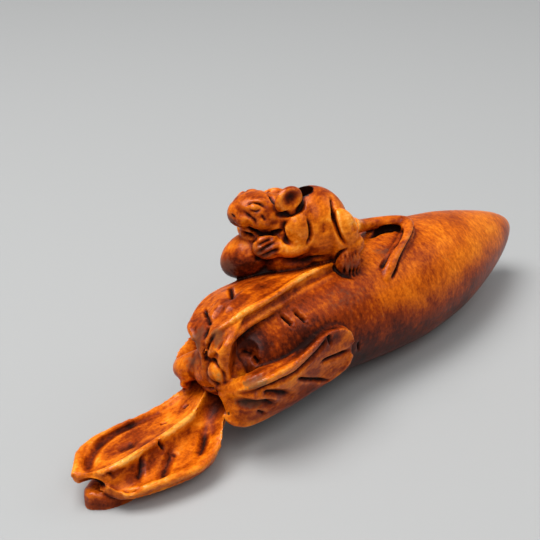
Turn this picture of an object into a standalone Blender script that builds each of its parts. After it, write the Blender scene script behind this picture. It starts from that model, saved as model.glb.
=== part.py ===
# A carved boxwood cord bead: a rat crouching on a white radish whose leaves are folded back.
# One piece of wood. Sizes are in millimetres and the finished mesh is scaled to metres.
# X runs along the radish, from its leaves (-X) to its tip (+X). The rat's nearer flank faces -Y.

import math

import bmesh
import bpy
import numpy as np
from mathutils import Matrix, Vector
from mathutils.bvhtree import BVHTree

MM = 0.001

# The radish root.
ROOT_LENGTH = 42.0
ROOT_DIAMETER = 11.2
ROOT_TILT = 3.0             # degrees, the crown sits higher than the tip
TIP_RISE = 0.5              # how far the root's tip bends up
BELLY_FLAT_DEPTH = 0.12     # how much is pared off the underside so that the bead doesn't roll

# The leaves.
LEAF_THICKNESS = 1.3
LEAF_EDGE = 0.3             # radius of the roll along a leaf's edges
LEAF_ROOT_RADIUS = 3.6      # how deep the folded leaves reach into the root
FRONT_LEAF_LENGTH = 15.0
FRONT_LEAF_WIDTH = 7.6
STEM_THICKNESS = 1.4        # of the upper leaf's stem, on the crown's face
KNOB_DIAMETER = 1.9

# The rat, measured from nose to rump.
RAT_LENGTH = 11.8
RAT_TURN = 28.0             # degrees, how far it looks away from the radish's own line
NUT_DIAMETER = 4.3
TAIL_DIAMETER = 1.2

# The cord hole runs from the rat's back down through the radish.
CORD_HOLE_DIAMETER = 1.7

# Fineness of the solid.
CARVING_VOXEL = 0.22
SOLID_TRIANGLES = 9000

# The carving is drawn on a grid of one millimetre at its real size.
along = ROOT_LENGTH / 42.0
across = ROOT_DIAMETER / 11.2
rat_scale = RAT_LENGTH / 11.8
front_long = FRONT_LEAF_LENGTH / 15.0
front_wide = FRONT_LEAF_WIDTH / 7.6

# Root outline: distance from the middle along the axis, and radius.
ROOT_OUTLINE = [
    (-21.0, 1.6), (-20.4, 2.7), (-19.2, 3.8), (-16.5, 4.6), (-13.0, 4.85), (-8.4, 5.0), (0.0, 5.6), (4.5, 5.5),
    (9.0, 4.95), (14.0, 3.7), (17.5, 2.5), (19.8, 1.4), (20.7, 0.7), (21.0, 0.1),
]


def smooth_rows(rows, steps):
    """Rows of numbers joined by a Catmull-Rom curve, with steps rows in each gap."""
    rows = np.array(rows, float)
    padded = np.vstack([2 * rows[0] - rows[1], rows, 2 * rows[-1] - rows[-2]])
    found = []
    for i in range(len(rows) - 1):
        a, b, c, d = padded[i:i + 4]
        for k in range(steps):
            t = k / steps
            found.append(0.5 * (2 * b + (c - a) * t + (2 * a - 5 * b + 4 * c - d) * t * t
                                + (3 * b - a - 3 * c + d) * t ** 3))
    found.append(rows[-1])
    return np.array(found)


root_curve = smooth_rows(ROOT_OUTLINE, 6) * (along, across)


def root_radius(x):
    return float(np.interp(x, root_curve[:, 0], root_curve[:, 1]))


tilt = math.radians(ROOT_TILT)
axis_height = max(r * math.cos(tilt) + x * math.sin(tilt) for x, r in root_curve) - BELLY_FLAT_DEPTH


def tip_rise(x):
    return TIP_RISE * min(max((x / along - 3.0) / 18.0, 0.0), 1.0) ** 2


def by_root(x, angle, radius):
    """The point at that distance along the root's axis and from it. Angle 0 is up and 90 faces -Y."""
    turn = math.radians(angle)
    y, z = -radius * math.sin(turn), radius * math.cos(turn) + tip_rise(x)
    return Vector((x * math.cos(tilt) + z * math.sin(tilt), y,
                   axis_height - x * math.sin(tilt) + z * math.cos(tilt)))


def on_root(x, angle, lift=0.0):
    return by_root(x, angle, root_radius(x) + lift)


def made_from(name, shape):
    """A new object from a bmesh, which is freed."""
    mesh = bpy.data.meshes.new(name)
    shape.to_mesh(mesh)
    shape.free()
    made = bpy.data.objects.new(name, mesh)
    bpy.context.scene.collection.objects.link(made)
    return made


def loft(name, rings):
    """A closed form through rings of points, with a flat cap on each end."""
    shape = bmesh.new()
    grid = [[shape.verts.new(p) for p in ring] for ring in rings]
    count = len(grid[0])
    for a, b in zip(grid, grid[1:]):
        for i in range(count):
            j = (i + 1) % count
            shape.faces.new((a[i], a[j], b[j], b[i]))
    shape.faces.new(list(reversed(grid[0])))
    shape.faces.new(grid[-1])
    bmesh.ops.recalc_face_normals(shape, faces=shape.faces)
    return made_from(name, shape)


def tube(name, points, radii, sides=14):
    """A limb along a smooth path."""
    rows = smooth_rows([tuple(p) + (r,) for p, r in zip(points, radii)], 6)
    path = [Vector(row[:3]) for row in rows]
    rings = []
    for i, centre in enumerate(path):
        ahead = (path[min(i + 1, len(path) - 1)] - path[max(i - 1, 0)]).normalized()
        side = ahead.cross(Vector((0, 0, 1)))
        side = side.normalized() if side.length > 1e-6 else Vector((1, 0, 0))
        top = side.cross(ahead).normalized()
        r = max(float(rows[i][3]), 0.02)
        rings.append([centre + side * r * math.cos(a) + top * r * math.sin(a)
                      for a in (2 * math.pi * k / sides for k in range(sides))])
    return loft(name, rings)


def ball(name, centre, radii, turn=Matrix.Identity(3), rings=14):
    """An ellipsoid whose own axes are the columns of turn."""
    shape = bmesh.new()
    bmesh.ops.create_uvsphere(shape, u_segments=2 * rings, v_segments=rings, radius=1.0)
    place = Matrix.Translation(centre) @ turn.to_4x4() @ Matrix.Diagonal((*radii, 1.0))
    bmesh.ops.transform(shape, matrix=place, verts=shape.verts)
    return made_from(name, shape)


def root_form():
    sides = 64
    rings = [[by_root(x, 360 * k / sides, r) for k in range(sides)] for x, r in root_curve]
    return [loft("root", rings)]


def leaf_section(far, rib, near, far_trough, near_trough, lean=1.0):
    """Heights across a leaf, over its rib. A lean under 1 digs the near trough closer to the rib."""
    found = []
    for k in range(19):
        w = k / 9
        start, end = (far, rib) if w <= 1 else (rib, near)
        part = w if w <= 1 else w - 1
        sag = far_trough * math.sin(math.pi * part) ** 0.8
        if w > 1:
            sag = near_trough * math.sin(math.pi * part ** lean) ** 0.8
        found.append(start + (end - start) * part - np.array([0.0, sag]))
    return found


# Leaves folded back along the root. Each row is x, then angle and radius of its far edge, rib and near edge.
UPPER_LEAF = [
    (-23.0, -16, 3.4, 8, 3.8, 29, 3.5), (-22.4, -29, 4.2, 14, 4.7, 31, 4.2),
    (-21.4, -37, 4.7, 17, 5.2, 27, 4.6), (-19.8, -42, 5.5, 18, 5.65, 24, 4.9),
    (-18.0, -44, 6.0, 18, 5.85, 22.5, 5.0), (-15.5, -45.5, 6.15, 15.5, 5.8, 20, 5.0),
    (-12.8, -45, 5.95, 12, 5.8, 16.5, 5.0), (-9.5, -38, 5.4, 10, 5.75, 16, 5.05),
    (-6.5, -24, 5.3, 8, 5.5, 12, 5.1),
]
NEAR_LEAF = [
    (-22.9, 98, 1.9, 104, 2.3, 137, 3.7), (-22.5, 85, 3.0, 90, 3.5, 135, 4.5),
    (-21.7, 75, 4.3, 80, 4.9, 133, 5.1), (-20.4, 72, 4.8, 76, 5.55, 133, 5.3),
    (-18.5, 71.5, 4.8, 75, 5.7, 133, 5.35), (-16.5, 68, 4.8, 71, 5.75, 129, 5.35),
    (-14.1, 62, 4.9, 65, 5.8, 122, 5.3), (-12.2, 62, 5.1, 66, 5.75, 116, 5.45),
    (-11.0, 68, 5.2, 72, 5.7, 108, 5.5), (-10.4, 78, 5.2, 84, 5.55, 98, 5.4),
]
FAR_LEAF = [
    (-22.8, -124, 3.2, -110, 3.6, -96, 3.2), (-22.1, -128, 3.95, -108, 4.25, -90, 3.95),
    (-20.6, -130, 4.55, -102, 4.95, -84, 4.55), (-18.0, -132, 5.0, -96, 5.4, -80, 4.9),
    (-13.0, -124, 5.3, -88, 5.6, -74, 5.1), (-9.0, -108, 5.2, -90, 5.4, -80, 5.0),
]


def folded_leaf(name, rows, trough, rounded):
    """A leaf bent back along the root. rounded lists the columns of its rows that have a roll along them."""
    rings = []
    for x, fa, fr, ra, rr, na, nr in smooth_rows(rows, 5):
        top = leaf_section(np.array([fa, fr * across]), np.array([ra, rr * across]),
                           np.array([na, nr * across]), trough, trough)
        # The walls lean in under the leaf.
        under = [(ra + (a - ra) * (0.6 if a > ra else 0.9),
                  max(min(LEAF_ROOT_RADIUS * across, r - LEAF_THICKNESS), r - 2.2 * LEAF_THICKNESS))
                 for a, r in reversed(top)]
        rings.append([by_root(x * along, a, r) for a, r in [*top, *under]])
    edges = [tube("leaf edge", [by_root(row[0] * along, row[k], row[k + 1] * across - 0.9 * LEAF_EDGE)
                                for row in rows[1:]], [LEAF_EDGE] * len(rows[1:])) for k in rounded]
    return [loft(name, rings), *edges]


# The leaf that points forward: x ahead of the crown, then y and height of its far edge, rib and near edge.
FRONT_LEAF = [
    (-0.5, 2.6, 5.0, 0.9, 6.0, -1.4, 5.0), (1.5, 3.3, 4.0, 0.3, 4.9, -2.0, 3.8),
    (3.2, 3.6, 3.5, -0.1, 4.1, -3.2, 2.8), (5.5, 3.85, 3.4, -0.3, 3.9, -3.75, 2.25),
    (8.0, 4.0, 3.5, -0.4, 3.8, -3.3, 2.2), (10.5, 3.95, 3.4, -0.4, 3.7, -2.35, 2.05),
    (11.8, 3.65, 3.25, -0.2, 3.5, -1.5, 1.9), (12.3, 3.35, 3.3, 0.1, 3.3, -0.7, 2.15),
    (12.8, 3.05, 3.25, 0.9, 3.1, 0.5, 2.6), (13.3, 2.6, 3.2, 1.5, 3.05, 1.3, 2.8),
    (13.8, 2.2, 3.1, 1.8, 3.0, 1.6, 2.85),
]
# The leaf beneath it: x ahead of the crown, its two edges, its top and its underside.
LOWER_LEAF = [
    (0.5, 1.6, -0.8, 3.6, 1.9), (4.0, 2.4, -1.6, 2.4, 1.1), (8.0, 2.9, -1.8, 2.0, 0.4),
    (10.3, 2.9, -1.4, 1.5, -0.3), (11.7, 2.6, -0.8, 1.4, -0.4), (12.6, 2.2, -0.2, 1.4, -0.4),
    (13.1, 1.8, 0.3, 1.5, -0.3), (13.5, 1.3, 0.7, 1.3, 0.0),
]


def front(ahead, y, z):
    """A point of the forward leaves: ahead of the crown, across and up."""
    return Vector((-21.0 * along - ahead * front_long, y * front_wide, z))


def front_leaf():
    rings = []
    for x, fy, fz, ry, rz, ny, nz in smooth_rows(FRONT_LEAF, 5):
        # The troughs run out before the tip, where the leaf is thinner too.
        share = float(np.interp(x, (12.0, 13.2), (1.0, 0.1)))
        depth = float(np.interp(x, (10.0, 11.8), (1.6, 0.8)))
        top = leaf_section(np.array([fy, fz]), np.array([ry, rz]), np.array([ny, nz]),
                           0.4 * share, 0.8 * share, 0.55)
        under = [(y * 0.85 + ry * 0.15, max(z - depth, 1.0)) for y, z in reversed(top)]
        rings.append([front(x, y, z) for y, z in [*top, *under]])
    edges = [tube(name, [front(row[0], row[k] + inward * LEAF_EDGE, row[k + 1] - 1.1 * LEAF_EDGE)
                         for row in FRONT_LEAF[first:last]], [LEAF_EDGE] * len(FRONT_LEAF[first:last]))
             for name, k, inward, first, last in (("far edge", 1, -1.0, 1, None), ("rib", 3, 0, 1, -4),
                                                  ("near edge", 5, 0.8, 2, -4))]
    low_rings = []
    for x, fy, ny, high, low in smooth_rows(LOWER_LEAF, 4):
        ring = []
        for k in range(24):
            c, s = math.cos(2 * math.pi * k / 24), math.sin(2 * math.pi * k / 24)
            ring.append(front(x, (fy + ny) / 2 + (fy - ny) / 2 * math.copysign(abs(c) ** 0.6, c),
                              (high + low) / 2 + (high - low) / 2 * math.copysign(abs(s) ** 0.6, s)))
        low_rings.append(ring)
    return [loft("front leaf", rings), loft("lower leaf", low_rings), *edges]


# The upper leaf's stem on the crown's face: height, x, and y of its far and near edges.
STEM = [
    (11.9, -19.9, 1.6, -2.2), (11.2, -21.3, 1.5, -2.9), (10.2, -22.4, 1.2, -3.1), (9.0, -22.7, 1.0, -3.0),
    (8.0, -22.7, 0.9, -2.9), (7.0, -22.5, 1.0, -2.7), (6.0, -22.1, 1.2, -2.3), (5.0, -21.8, 1.5, -1.9),
]
# Share of the stem's width from its far edge, and how far it stands out there.
STEM_RELIEF = [
    (0.0, -0.5), (0.14, -0.1), (0.27, 0.2), (0.37, -0.35), (0.5, -0.1), (0.68, -0.15), (0.86, 0.3), (1.0, -0.4),
]


def on_crown(x, y, z):
    """A point of the crown's face, which stands where the root and its axis put it."""
    return Vector((x * along, y * across, axis_height + (z - 5.6) * across))


def stem():
    shares, heights = np.array(STEM_RELIEF).T
    rings = []
    for z, x, far, near in smooth_rows(STEM, 4):
        face = [on_crown(x - float(np.interp(w, shares, heights)), far + (near - far) * w, z)
                for w in (k / 16 for k in range(17))]
        # The back is narrower.
        middle = (far + near) / 2 * across
        back = [Vector((p.x + STEM_THICKNESS, middle + (p.y - middle) * 0.6, p.z)) for p in reversed(face)]
        rings.append(face + back)
    return [loft("stem", rings)]


def crown():
    r = KNOB_DIAMETER / 2
    return [ball("knob", on_crown(-22.5, -1.5, 8.0), (r * 0.8, r, r)),
            ball("crown", by_root(-20.9 * along, 0, 0), (2.0, 2.6, 2.2)),
            tube("near stalk", [by_root(-20.9 * along, 90, 1.0), by_root(-21.7 * along, 100, 2.2 * across),
                                by_root(-22.0 * along, 104, 3.2 * across)], [1.4, 0.9, 0.6]),
            tube("far stalk", [by_root(-20.8 * along, -80, 1.0), by_root(-22.0 * along, -100, 2.5 * across),
                               by_root(-21.9 * along, -106, 3.6 * across)], [1.4, 1.1, 0.8])]


rat_turn = math.radians(RAT_TURN)
rat_ahead = Vector((-math.cos(rat_turn), math.sin(rat_turn), 0))
rat_side = Vector((-math.sin(rat_turn), -math.cos(rat_turn), 0))
rat_axes = Matrix((rat_ahead, rat_side, Vector((0, 0, 1)))).transposed()
rat_seat = Vector((-6.5 * along, 1.5, on_root(-6.5 * along, 0).z))


def rat(ahead, side, up):
    """A point in the rat's own measure: ahead to its nose, side to its nearer flank."""
    return rat_seat + rat_axes @ Vector((ahead, side, up)) * rat_scale


def rat_ball(name, centre, radii, pitch=0.0, yaw=0.0):
    turn = rat_axes @ Matrix.Rotation(math.radians(yaw), 3, "Z") @ Matrix.Rotation(math.radians(pitch), 3, "Y")
    return ball(name, rat(*centre), [r * rat_scale for r in radii], turn)


def rat_tube(name, points, radii):
    return tube(name, [rat(*p) for p in points], [r * rat_scale for r in radii])


# Parts of the rat: name, centre, radii and pitch. Those of the second list are one to each flank.
RAT_MIDDLE = [
    ("trunk", (1.0, 0, 2.9), (3.2, 2.9, 3.6), 10),
    ("shoulders", (2.6, 0, 3.2), (2.6, 2.9, 3.1), 0),
    ("rump", (-0.9, 0, 1.5), (2.2, 2.7, 2.5), 0),
    ("neck", (4.3, 0, 4.2), (2.3, 2.1, 2.1), 0),
    ("skull", (5.9, 0, 5.35), (2.5, 1.95, 1.65), -6),
    ("snout", (7.2, 0, 5.1), (1.35, 1.25, 1.25), 0),
    ("throat", (5.6, 0, 3.6), (1.9, 1.6, 2.0), 0),
    ("belly", (3.4, 0, 0.8), (3.0, 2.6, 2.2), 0),
]
RAT_SIDES = [
    ("haunch", (-1.05, 1.9, 2.6), (1.75, 1.3, 2.75), 10),
    ("shin", (-1.4, 2.1, 1.5), (1.6, 1.1, 1.4), 0),
    ("hind foot", (-1.2, 2.9, 0.35), (1.15, 0.75, 1.4), 0),
    ("upper arm", (3.3, 1.75, 3.9), (1.4, 1.45, 1.85), 14),
    ("paw", (5.7, 2.0, 2.6), (1.4, 0.8, 1.15), -20),
    ("cheek", (5.7, 1.0, 4.9), (1.5, 1.1, 1.1), 0),
    ("whisker pad", (7.4, 0.75, 4.9), (0.8, 0.75, 0.75), 0),
    ("brow", (6.5, 1.0, 6.2), (1.0, 0.5, 0.4), 14),
    ("eye", (6.75, 1.3, 6.1), (0.4, 0.4, 0.3), 0),
]
FAR_EAR_DROP = 1.4          # the farther ear lies lower, on the rat's own measure


def rat_body():
    made = [rat_ball(*piece) for piece in RAT_MIDDLE]
    for side in (1, -1):
        for name, centre, radii, pitch in RAT_SIDES:
            made.append(rat_ball(name, (centre[0], centre[1] * side, centre[2]), radii, pitch))
        arm = [(2.6, 2.1 * side, 2.5), (3.8, 2.35 * side, 2.3), (5.0, 2.25 * side, 2.6)]
        made.append(rat_tube("forearm", arm, [0.85, 0.8, 0.75]))
        ear_up = 6.4 if side > 0 else 6.4 - FAR_EAR_DROP
        made.append(rat_ball("ear", (3.75, 1.55 * side, ear_up), (1.25, 0.6, 1.15), yaw=18 * side))
    return made


def nut():
    """The round nut that the rat holds under its chin."""
    r = NUT_DIAMETER / 2
    return [ball("nut", rat(6.9, 0, 1.15), (r * 1.1, r * 0.95, r * 0.9),
                 rat_axes @ Matrix.Rotation(math.radians(20), 3, "Y")),
            ball("nut seat", rat(5.8, 0, -0.4), (r * 1.1, r * 0.9, r * 0.8), rat_axes)]


# The tail's way along the root, as x, angle and height over it, and its breadth there as a share.
TAIL = [
    (-3.8, -6, 1.9, 1.3), (-1.9, -12, 1.1, 1.05), (-0.4, -13, 0.75, 0.95), (0.9, -9, 0.55, 0.95),
    (1.8, -4, 0.45, 1.0), (2.5, 2, 0.35, 1.1), (2.3, 8.5, 0.3, 1.15), (1.4, 15, 0.2, 1.1),
    (0.0, 21.5, 0.1, 1.0),
    (-1.2, 26, 0.05, 1.0), (-2.3, 30.5, 0.0, 1.0), (-3.2, 36, -0.1, 1.0), (-4.1, 42, -0.3, 0.9),
    (-4.8, 47, -0.6, 0.6),
]


def tail():
    """The tail lies along the root and turns back on itself."""
    half = TAIL_DIAMETER / 2
    return [tube("tail", [on_root(x * along, a, lift * across) for x, a, lift, _ in TAIL],
                 [half * breadth for *_, breadth in TAIL])]


def fuse(pieces, voxel):
    """Joins the pieces and remeshes them into one skin."""
    shape = bmesh.new()
    for piece in pieces:
        shape.from_mesh(piece.data)
        bpy.data.meshes.remove(piece.data)
    made = made_from("carving", shape)
    remesh = made.modifiers.new("one skin", "REMESH")
    remesh.mode = "VOXEL"
    remesh.voxel_size = voxel
    soften = made.modifiers.new("soften", "SMOOTH")
    soften.factor = 0.5
    soften.iterations = 2
    apply_modifiers(made)
    keep_outside(made)
    return made


def keep_outside(made):
    """Keeps the outermost skin and drops the hollows that the joined forms shut in."""
    shape = bmesh.new()
    shape.from_mesh(made.data)
    left = set(shape.verts)
    shells = []
    while left:
        shell, queue = set(), [left.pop()]
        while queue:
            spot = queue.pop()
            shell.add(spot)
            for edge in spot.link_edges:
                other = edge.other_vert(spot)
                if other in left:
                    left.discard(other)
                    queue.append(other)
        shells.append(shell)
    for shell in sorted(shells, key=len)[:-1]:
        bmesh.ops.delete(shape, geom=list(shell), context="VERTS")
    shape.to_mesh(made.data)
    shape.free()


def apply_modifiers(made):
    depsgraph = bpy.context.evaluated_depsgraph_get()
    mesh = bpy.data.meshes.new_from_object(made.evaluated_get(depsgraph))
    made.modifiers.clear()
    old = made.data
    made.data = mesh
    bpy.data.meshes.remove(old)


class Skin:
    """The carving's surface, which the gouge strokes push in."""

    def __init__(self, made):
        self.made = made
        mesh = made.data
        count = len(mesh.vertices)
        self.places = np.empty(count * 3)
        mesh.vertices.foreach_get("co", self.places)
        self.places = self.places.reshape(-1, 3)
        self.facing = np.empty(count * 3)
        mesh.vertices.foreach_get("normal", self.facing)
        self.facing = self.facing.reshape(-1, 3)
        self.tree = BVHTree.FromObject(made, bpy.context.evaluated_depsgraph_get())

    def beside_root(self, x, angle):
        """The outermost point of the surface in that direction from the root's axis."""
        start = by_root(x * along, angle, 9.5 * across)
        aim = by_root(x * along, angle, 0.0) - start
        place, normal = self.tree.ray_cast(start, aim)[:2]
        return self.nearest(by_root(x * along, angle, 4.5 * across)) if place is None else (place, normal)

    def on_front(self, ahead, y):
        """The point of the front leaf seen from above, ahead of the crown."""
        start = Vector((-21.0 * along - ahead * front_long, y * front_wide, 12.0))
        place, normal = self.tree.ray_cast(start, Vector((0, 0, -1)))[:2]
        return self.nearest(start - Vector((0, 0, 9.0))) if place is None else (place, normal)

    def on_crown(self, y, z):
        """The point of the crown's face at that place across it and that height."""
        start = on_crown(-27.5, y, z)
        place, normal = self.tree.ray_cast(start, Vector((1, 0, 0)))[:2]
        return self.nearest(on_crown(-23.0, y, z)) if place is None else (place, normal)

    def nearest(self, point):
        return self.tree.find_nearest(point)[:2]

    def cut(self, spots, half_width, depth, sharp=True):
        """A gouge stroke through (place, normal) spots. It fades out at both ends, and a minus depth raises."""
        rows = smooth_rows([(*place, *normal) for place, normal in spots], 5)
        path, normals = rows[:, :3], rows[:, 3:]
        low, high = path.min(axis=0) - half_width, path.max(axis=0) + half_width
        near = np.flatnonzero(np.all((self.places > low) & (self.places < high), axis=1))
        if not len(near):
            return
        points = self.places[near]
        start, step = path[:-1], np.diff(path, axis=0)
        length = np.maximum((step ** 2).sum(axis=1), 1e-12)
        part = np.clip(((points[:, None] - start) * step).sum(axis=2) / length, 0.0, 1.0)
        gaps = np.linalg.norm(points[:, None] - start - part[:, :, None] * step, axis=2)
        best = gaps.argmin(axis=1)
        rows_at = np.arange(len(near))
        gap = gaps[rows_at, best] / half_width
        run = (best + part[rows_at, best]) / len(step)
        faces_it = (self.facing[near] * normals[best]).sum(axis=1) > 0.0
        fade = np.clip(np.minimum(run, 1.0 - run) * 4.0 + 0.25, 0.0, 1.0)
        profile = np.clip(1.0 - gap, 0.0, 1.0) if sharp else np.clip(1.0 - gap ** 2, 0.0, 1.0) ** 2
        self.places[near] -= self.facing[near] * (profile * fade * faces_it * depth)[:, None]

    def press(self, centre, axes, radii, push):
        """Pushes an ellipsoid of the surface along push, most at its middle."""
        local = (self.places - np.array(centre)) @ np.array(axes) / np.array(radii)
        reach = (local ** 2).sum(axis=1)
        self.places += np.array(push) * (np.clip(1.0 - reach, 0.0, 1.0) ** 1.5)[:, None]

    def write(self):
        self.made.data.vertices.foreach_set("co", self.places.ravel())
        self.made.data.update()


# Gouge strokes round the root's axis: half width, depth, and points as distance along it and angle.
CROWN_CUTS = [
    (0.28, 0.50, [(-20.4, -29), (-21.0, -20), (-22.0, -2)]),
    (0.30, 0.40, [(-16.7, -32), (-18.3, -15), (-19.1, -6)]),
    (0.32, 0.60, [(-16.3, 29), (-16.0, 45)]),
    (0.32, 0.60, [(-15.0, 33), (-14.6, 48)]),
    (0.24, 0.30, [(-9.3, 91), (-9.1, 100)]),
    (0.40, 0.60, [(-20.4, 40), (-20.0, 54)]),
    (0.40, 0.60, [(-20.0, 60), (-19.8, 74)]),
]
LEAF_CUTS = [
    (0.36, 0.42, [(-22.4, 94), (-21.4, 87), (-19.8, 85), (-18.2, 85), (-16.5, 80), (-14.9, 74),
                 (-13.9, 68)]),
    (0.36, 0.45, [(-21.3, 91), (-19.9, 97), (-17.6, 111)]),
    (0.42, 0.48, [(-22.6, 110), (-21.8, 104), (-20.9, 104), (-19.6, 112)]),
    (0.28, 0.28, [(-21.3, 113), (-20.3, 121)]),
    (0.30, 0.42, [(-17.4, 93), (-15.5, 104), (-13.0, 116)]),
    (0.38, 0.45, [(-14.5, 89), (-12.8, 91), (-10.9, 92)]),
    (0.30, 0.35, [(-13.7, 66), (-13.5, 75)]),
]
TAIL_CUTS = [
    (0.50, 0.90, [(-1.0, -4), (0.0, -5), (0.9, -1), (1.4, 4), (1.3, 8)]),
    (0.40, 0.40, [(-1.6, -4), (-0.4, -4), (0.6, -1), (1.1, 4)]),
    (0.34, 0.30, [(1.3, 8), (0.7, 13), (-0.8, 20), (-2.0, 24)]),
    (0.36, 0.45, [(-2.2, 25), (-3.2, 29), (-4.2, 34)]),
    (0.26, 0.36, [(3.5, 7), (2.5, 15), (1.1, 22.5), (-0.4, 28.5), (-1.8, 34.5), (-2.8, 41), (-3.6, 46)]),
]
# Ridges, which have a minus depth, and soft hollows, in the same measure.
CROWN_SWELLS = [
    (0.50, -0.16, [(-22.0, 18), (-20.4, 20), (-16.8, 17), (-14.3, 12), (-11.8, 9), (-8.8, 8)]),
    (0.70, -0.22, [(-21.0, 4), (-19.3, -2), (-16.7, -9), (-14.6, -12)]),
    (0.50, -0.12, [(-22.2, 86), (-21.6, 80), (-20.2, 76), (-18.5, 75), (-16.5, 71), (-14.3, 65),
                 (-13.0, 64)]),
    (0.80, -0.20, [(-21.2, 96), (-20.0, 101), (-18.6, 104)]),
    (0.90, -0.16, [(-19.5, 122), (-17.0, 124), (-14.5, 118), (-12.2, 108)]),
]
# Strokes on the crown's face, as y and height.
STEM_CUTS = [
    (0.22, 0.40, [(-1.0, 10.9), (-0.5, 9.6), (-0.2, 8.4)]),
    (0.26, 0.20, [(-1.8, 11.0), (-1.7, 10.2), (-1.6, 9.4)]),
    (0.24, 0.18, [(-0.4, 7.5), (-0.6, 8.4), (-1.1, 9.0), (-1.8, 9.1), (-2.4, 8.6), (-2.5, 7.8)]),
    (0.26, 0.30, [(1.0, 5.4), (-0.6, 5.8), (-2.2, 6.3)]),
]
# Strokes on the front leaf: half width, depth, and points ahead of the crown and across.
FRONT_CUTS = [
    (0.55, 0.30, [(6.1, -0.9), (7.1, -1.4), (8.1, -1.9), (9.0, -2.4)]),
    (0.50, 0.30, [(3.0, -1.2), (4.0, -2.0), (5.2, -2.6)]),
    (0.40, 0.26, [(8.9, -0.5), (9.6, -0.9), (10.3, -1.3)]),
    (0.26, 0.34, [(7.3, -0.4), (6.9, -0.7)]),
    (0.26, 0.34, [(6.7, -1.1), (6.3, -1.4)]),
    (0.36, 0.30, [(0.2, 0.9), (1.4, 0.0), (2.7, -1.0)]),
    (0.22, 0.22, [(4.5, 1.5), (5.1, 1.7)]),
    (0.22, 0.22, [(2.1, 1.5), (2.6, 1.6)]),
    (0.30, 0.36, [(12.7, -0.3), (12.4, -1.0), (11.8, -1.7), (10.8, -2.1)]),
]
FRONT_SWELLS = [
    (0.60, 0.36, [(13.0, 1.2), (12.3, 2.0), (11.2, 2.8), (9.8, 3.3), (8.2, 3.45), (6.4, 3.3), (4.4, 3.0)]),
    (0.60, -0.18, [(0.6, 1.0), (2.2, 0.2), (4.0, -0.2), (7.0, -0.35), (10.5, -0.45), (12.2, -0.2)]),
    (0.60, -0.16, [(1.5, -1.4), (3.0, -2.5), (5.5, -3.2), (8.0, -3.0), (10.3, -2.3), (11.6, -1.6)]),
    (0.80, 0.20, [(9.8, 1.6), (8.2, 1.2)]),
]
# Strokes on the rat's nearer side, repeated on its other side: ahead, sideways and up from its seat.
RAT_CUTS = [
    (0.20, 0.30, [(7.4, 1.1, 6.3), (6.9, 1.2, 6.75), (6.4, 1.4, 6.5), (5.5, 1.7, 6.1)]),
    (0.16, 0.18, [(7.1, 1.4, 5.95), (6.6, 1.6, 5.8), (6.2, 1.6, 5.95)]),
    (0.26, 0.26, [(7.6, 1.2, 5.9), (7.2, 1.5, 5.4), (6.8, 1.7, 5.1), (6.6, 1.7, 4.5)]),
    (0.20, 0.18, [(6.2, 1.8, 5.5), (5.9, 1.9, 5.0)]),
    (0.18, 0.26, [(8.5, 0.5, 5.35), (8.2, 0.8, 5.2)]),
    (0.28, 0.50, [(8.4, 0.4, 4.5), (7.7, 1.0, 4.2), (7.0, 1.4, 4.0), (6.1, 1.8, 3.7), (5.0, 2.0, 3.8),
                 (4.3, 2.2, 4.1)]),
    (0.34, 0.45, [(4.8, 1.8, 5.3), (3.7, 2.3, 5.4), (2.7, 1.8, 5.6), (2.3, 1.0, 6.1)]),
    (0.32, 0.45, [(4.9, 0.3, 6.7), (4.8, 1.0, 6.5), (4.6, 1.6, 6.3)]),
    (0.28, 0.50, [(2.3, 2.6, 4.8), (2.2, 2.8, 4.0), (2.2, 3.0, 3.3), (2.5, 3.0, 2.8)]),
    (0.34, 0.30, [(4.0, 2.4, 5.0), (4.5, 2.3, 4.6), (4.6, 2.4, 4.0), (4.4, 2.6, 3.3), (4.0, 2.8, 2.8)]),
    (0.24, 0.34, [(6.8, 2.3, 3.0), (6.2, 2.5, 3.4), (5.5, 2.4, 3.6)]),
    (0.24, 0.34, [(6.8, 2.4, 2.4), (6.2, 2.7, 2.9), (5.2, 2.6, 3.3)]),
    (0.24, 0.34, [(6.6, 2.4, 1.9), (6.0, 2.7, 2.3), (5.1, 3.0, 2.7)]),
    (0.30, 0.35, [(6.9, 2.0, 1.8), (6.0, 2.2, 1.4), (5.0, 2.4, 1.5)]),
    (0.34, 0.50, [(7.9, 0.4, 3.4), (7.3, 1.2, 3.4), (6.7, 1.9, 3.3)]),
    (0.28, 0.60, [(-0.5, 1.5, 6.2), (-0.2, 2.1, 5.3), (0.0, 2.6, 4.4), (-0.3, 3.0, 3.2), (-0.8, 3.1, 2.3)]),
    (0.22, 0.20, [(-1.0, 3.2, 1.9), (-0.4, 2.9, 1.5), (0.0, 2.6, 0.7), (0.0, 2.8, 0.0), (-0.4, 3.5, -0.5),
                  (-1.2, 3.8, -0.8)]),
    (0.17, 0.28, [(-0.7, 3.4, 1.5), (-0.6, 3.5, -0.3)]),
    (0.17, 0.28, [(-1.1, 3.5, 1.6), (-1.1, 3.6, -0.6)]),
    (0.17, 0.28, [(-1.4, 3.5, 1.5), (-1.5, 3.6, -0.6)]),
    (0.17, 0.28, [(-1.8, 3.4, 1.5), (-1.9, 3.5, -0.5)]),
    (0.40, 0.35, [(4.4, 2.5, 1.2), (2.4, 2.4, 1.0), (0.7, 2.6, 1.0)]),
]


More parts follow.
